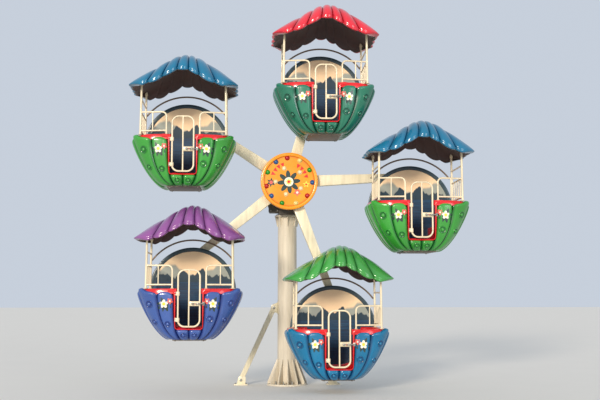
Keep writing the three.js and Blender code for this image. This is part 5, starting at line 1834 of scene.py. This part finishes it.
def make_cabins():
    panel, board = build_panel(), build_board()
    bowl, bosses, prints = build_bowl(), build_bosses(), build_petal_prints()
    liner, cabin_frame, canopy, door = build_liner(), build_frame(), build_canopy(), build_door()
    for k in CABINS:
        pivot, body = PIVOTS[k], f"cabin_{k}"
        behind = (pivot.x, 0, pivot.z)
        shift = (pivot.x, CABIN_Y, pivot.z)
        coat, bowl_slot = BOWL_FINISH[k], f"bowl_{BOWL_NAMES[k]}"
        piece(f"panel_ring_{k}", panel, [SLATE, STEEL], body, [f"back_panel_{k}"], behind)
        picture = piece(f"panel_picture_{k}", board, [PICTURE], body, (), behind)
        add_picture_uv(picture, pivot)
        piece(f"petal_bowl_{k}", bowl, [coat, BASE_SHADE_PAINT, STEEL], body, [f"bowl_{k}"], shift, 40)
        piece(f"petal_bosses_{k}", bosses, [coat], body, (), shift, 60)
        piece(f"petal_prints_{k}", prints, PRINTS[:RED_INK], body, (), shift)
        piece(f"red_liner_{k}", liner, [RED, TUBE_CREAM, STEEL, MAT], body,
              [f"liner_{k}"], shift)
        piece(f"tube_frame_{k}", cabin_frame, [TUBE_CREAM, ARCH_SHADE_PAINT], body,
              [f"frame_{k}"], shift)
        piece(f"lobed_canopy_{k}", canopy, [CANOPY_FINISH[k], UNDERSIDE], body,
              [f"canopy_{k}"], shift, 60)
        piece(f"tube_door_{k}", door, [TUBE_CREAM, STEEL, PRINT_RED], f"door_{k}",
              [f"door_{k}"], shift)


# Studio: an even key light, low from the front left, and a weaker fill from the front right
FLOOR_HALF_SIZE = 60.0
SKY_COLOR = (0.60, 0.66, 0.75)
SKY_STRENGTH = 0.95
KEY_FROM = (-6.8, -15.2, 4.4)
KEY_ANGLE = 12
KEY_STRENGTH = 2.9
KEY_COLOR = (1, 0.90, 0.76)
FILL_FROM = (6.0, -9.6, 1.6)
FILL_ANGLE = 24
FILL_STRENGTH = 0.65
FILL_COLOR = (0.96, 0.97, 1)

# Camera: a little left of the hub, below it, looking up at the wheel
CAMERA_PLACE = (-0.552, -11.835, 1.148)
CAMERA_AIM = (0.137, -0.411, 2.277)
CAMERA_LENS = 56.1


def soft_light(name, place, angle, strength, color):
    """An even light from the direction of a place, as wide as an angle in degrees."""
    data = bpy.data.lights.new(name, "SUN")
    data.energy = strength
    data.angle = math.radians(angle)
    data.color = color
    light = bpy.data.objects.new(name, data)
    light.location = place
    light.rotation_euler = (-Vector(place)).to_track_quat("-Z", "Y").to_euler()
    bpy.context.scene.collection.objects.link(light)


def make_studio():
    size = FLOOR_HALF_SIZE
    floor = bpy.data.meshes.new("floor")
    corners = [(-size, -size, 0), (size, -size, 0), (size, size, 0), (-size, size, 0)]
    floor.from_pydata(corners, [], [(0, 1, 2, 3)])
    floor.materials.append(plaster("studio floor", linear(226, 222, 214)))
    ground = bpy.data.objects.new("floor", floor)
    bpy.context.scene.collection.objects.link(ground)
    world = bpy.data.worlds.new("studio")
    world.use_nodes = True
    background = world.node_tree.nodes["Background"]
    background.inputs["Color"].default_value = (*SKY_COLOR, 1)
    background.inputs["Strength"].default_value = SKY_STRENGTH
    bpy.context.scene.world = world
    bpy.context.scene.view_settings.view_transform = "Standard"
    soft_light("key", KEY_FROM, KEY_ANGLE, KEY_STRENGTH, KEY_COLOR)
    soft_light("fill", FILL_FROM, FILL_ANGLE, FILL_STRENGTH, FILL_COLOR)


def make_camera():
    data = bpy.data.cameras.new("camera")
    data.sensor_width = 36
    data.lens = CAMERA_LENS
    camera = bpy.data.objects.new("camera", data)
    camera.location = CAMERA_PLACE
    direction = Vector(CAMERA_AIM) - Vector(CAMERA_PLACE)
    camera.rotation_euler = direction.to_track_quat("-Z", "Y").to_euler()
    bpy.context.scene.collection.objects.link(camera)
    bpy.context.scene.camera = camera


make_camera()
make_column()
make_base_flange()
make_anchors()
make_head_plate()
make_housing()
make_drive_unit()
make_braces()
make_hub()
make_arms()
make_cover_disc()
make_cover_knobs()
make_cover_prints()
make_cabins()
make_studio()
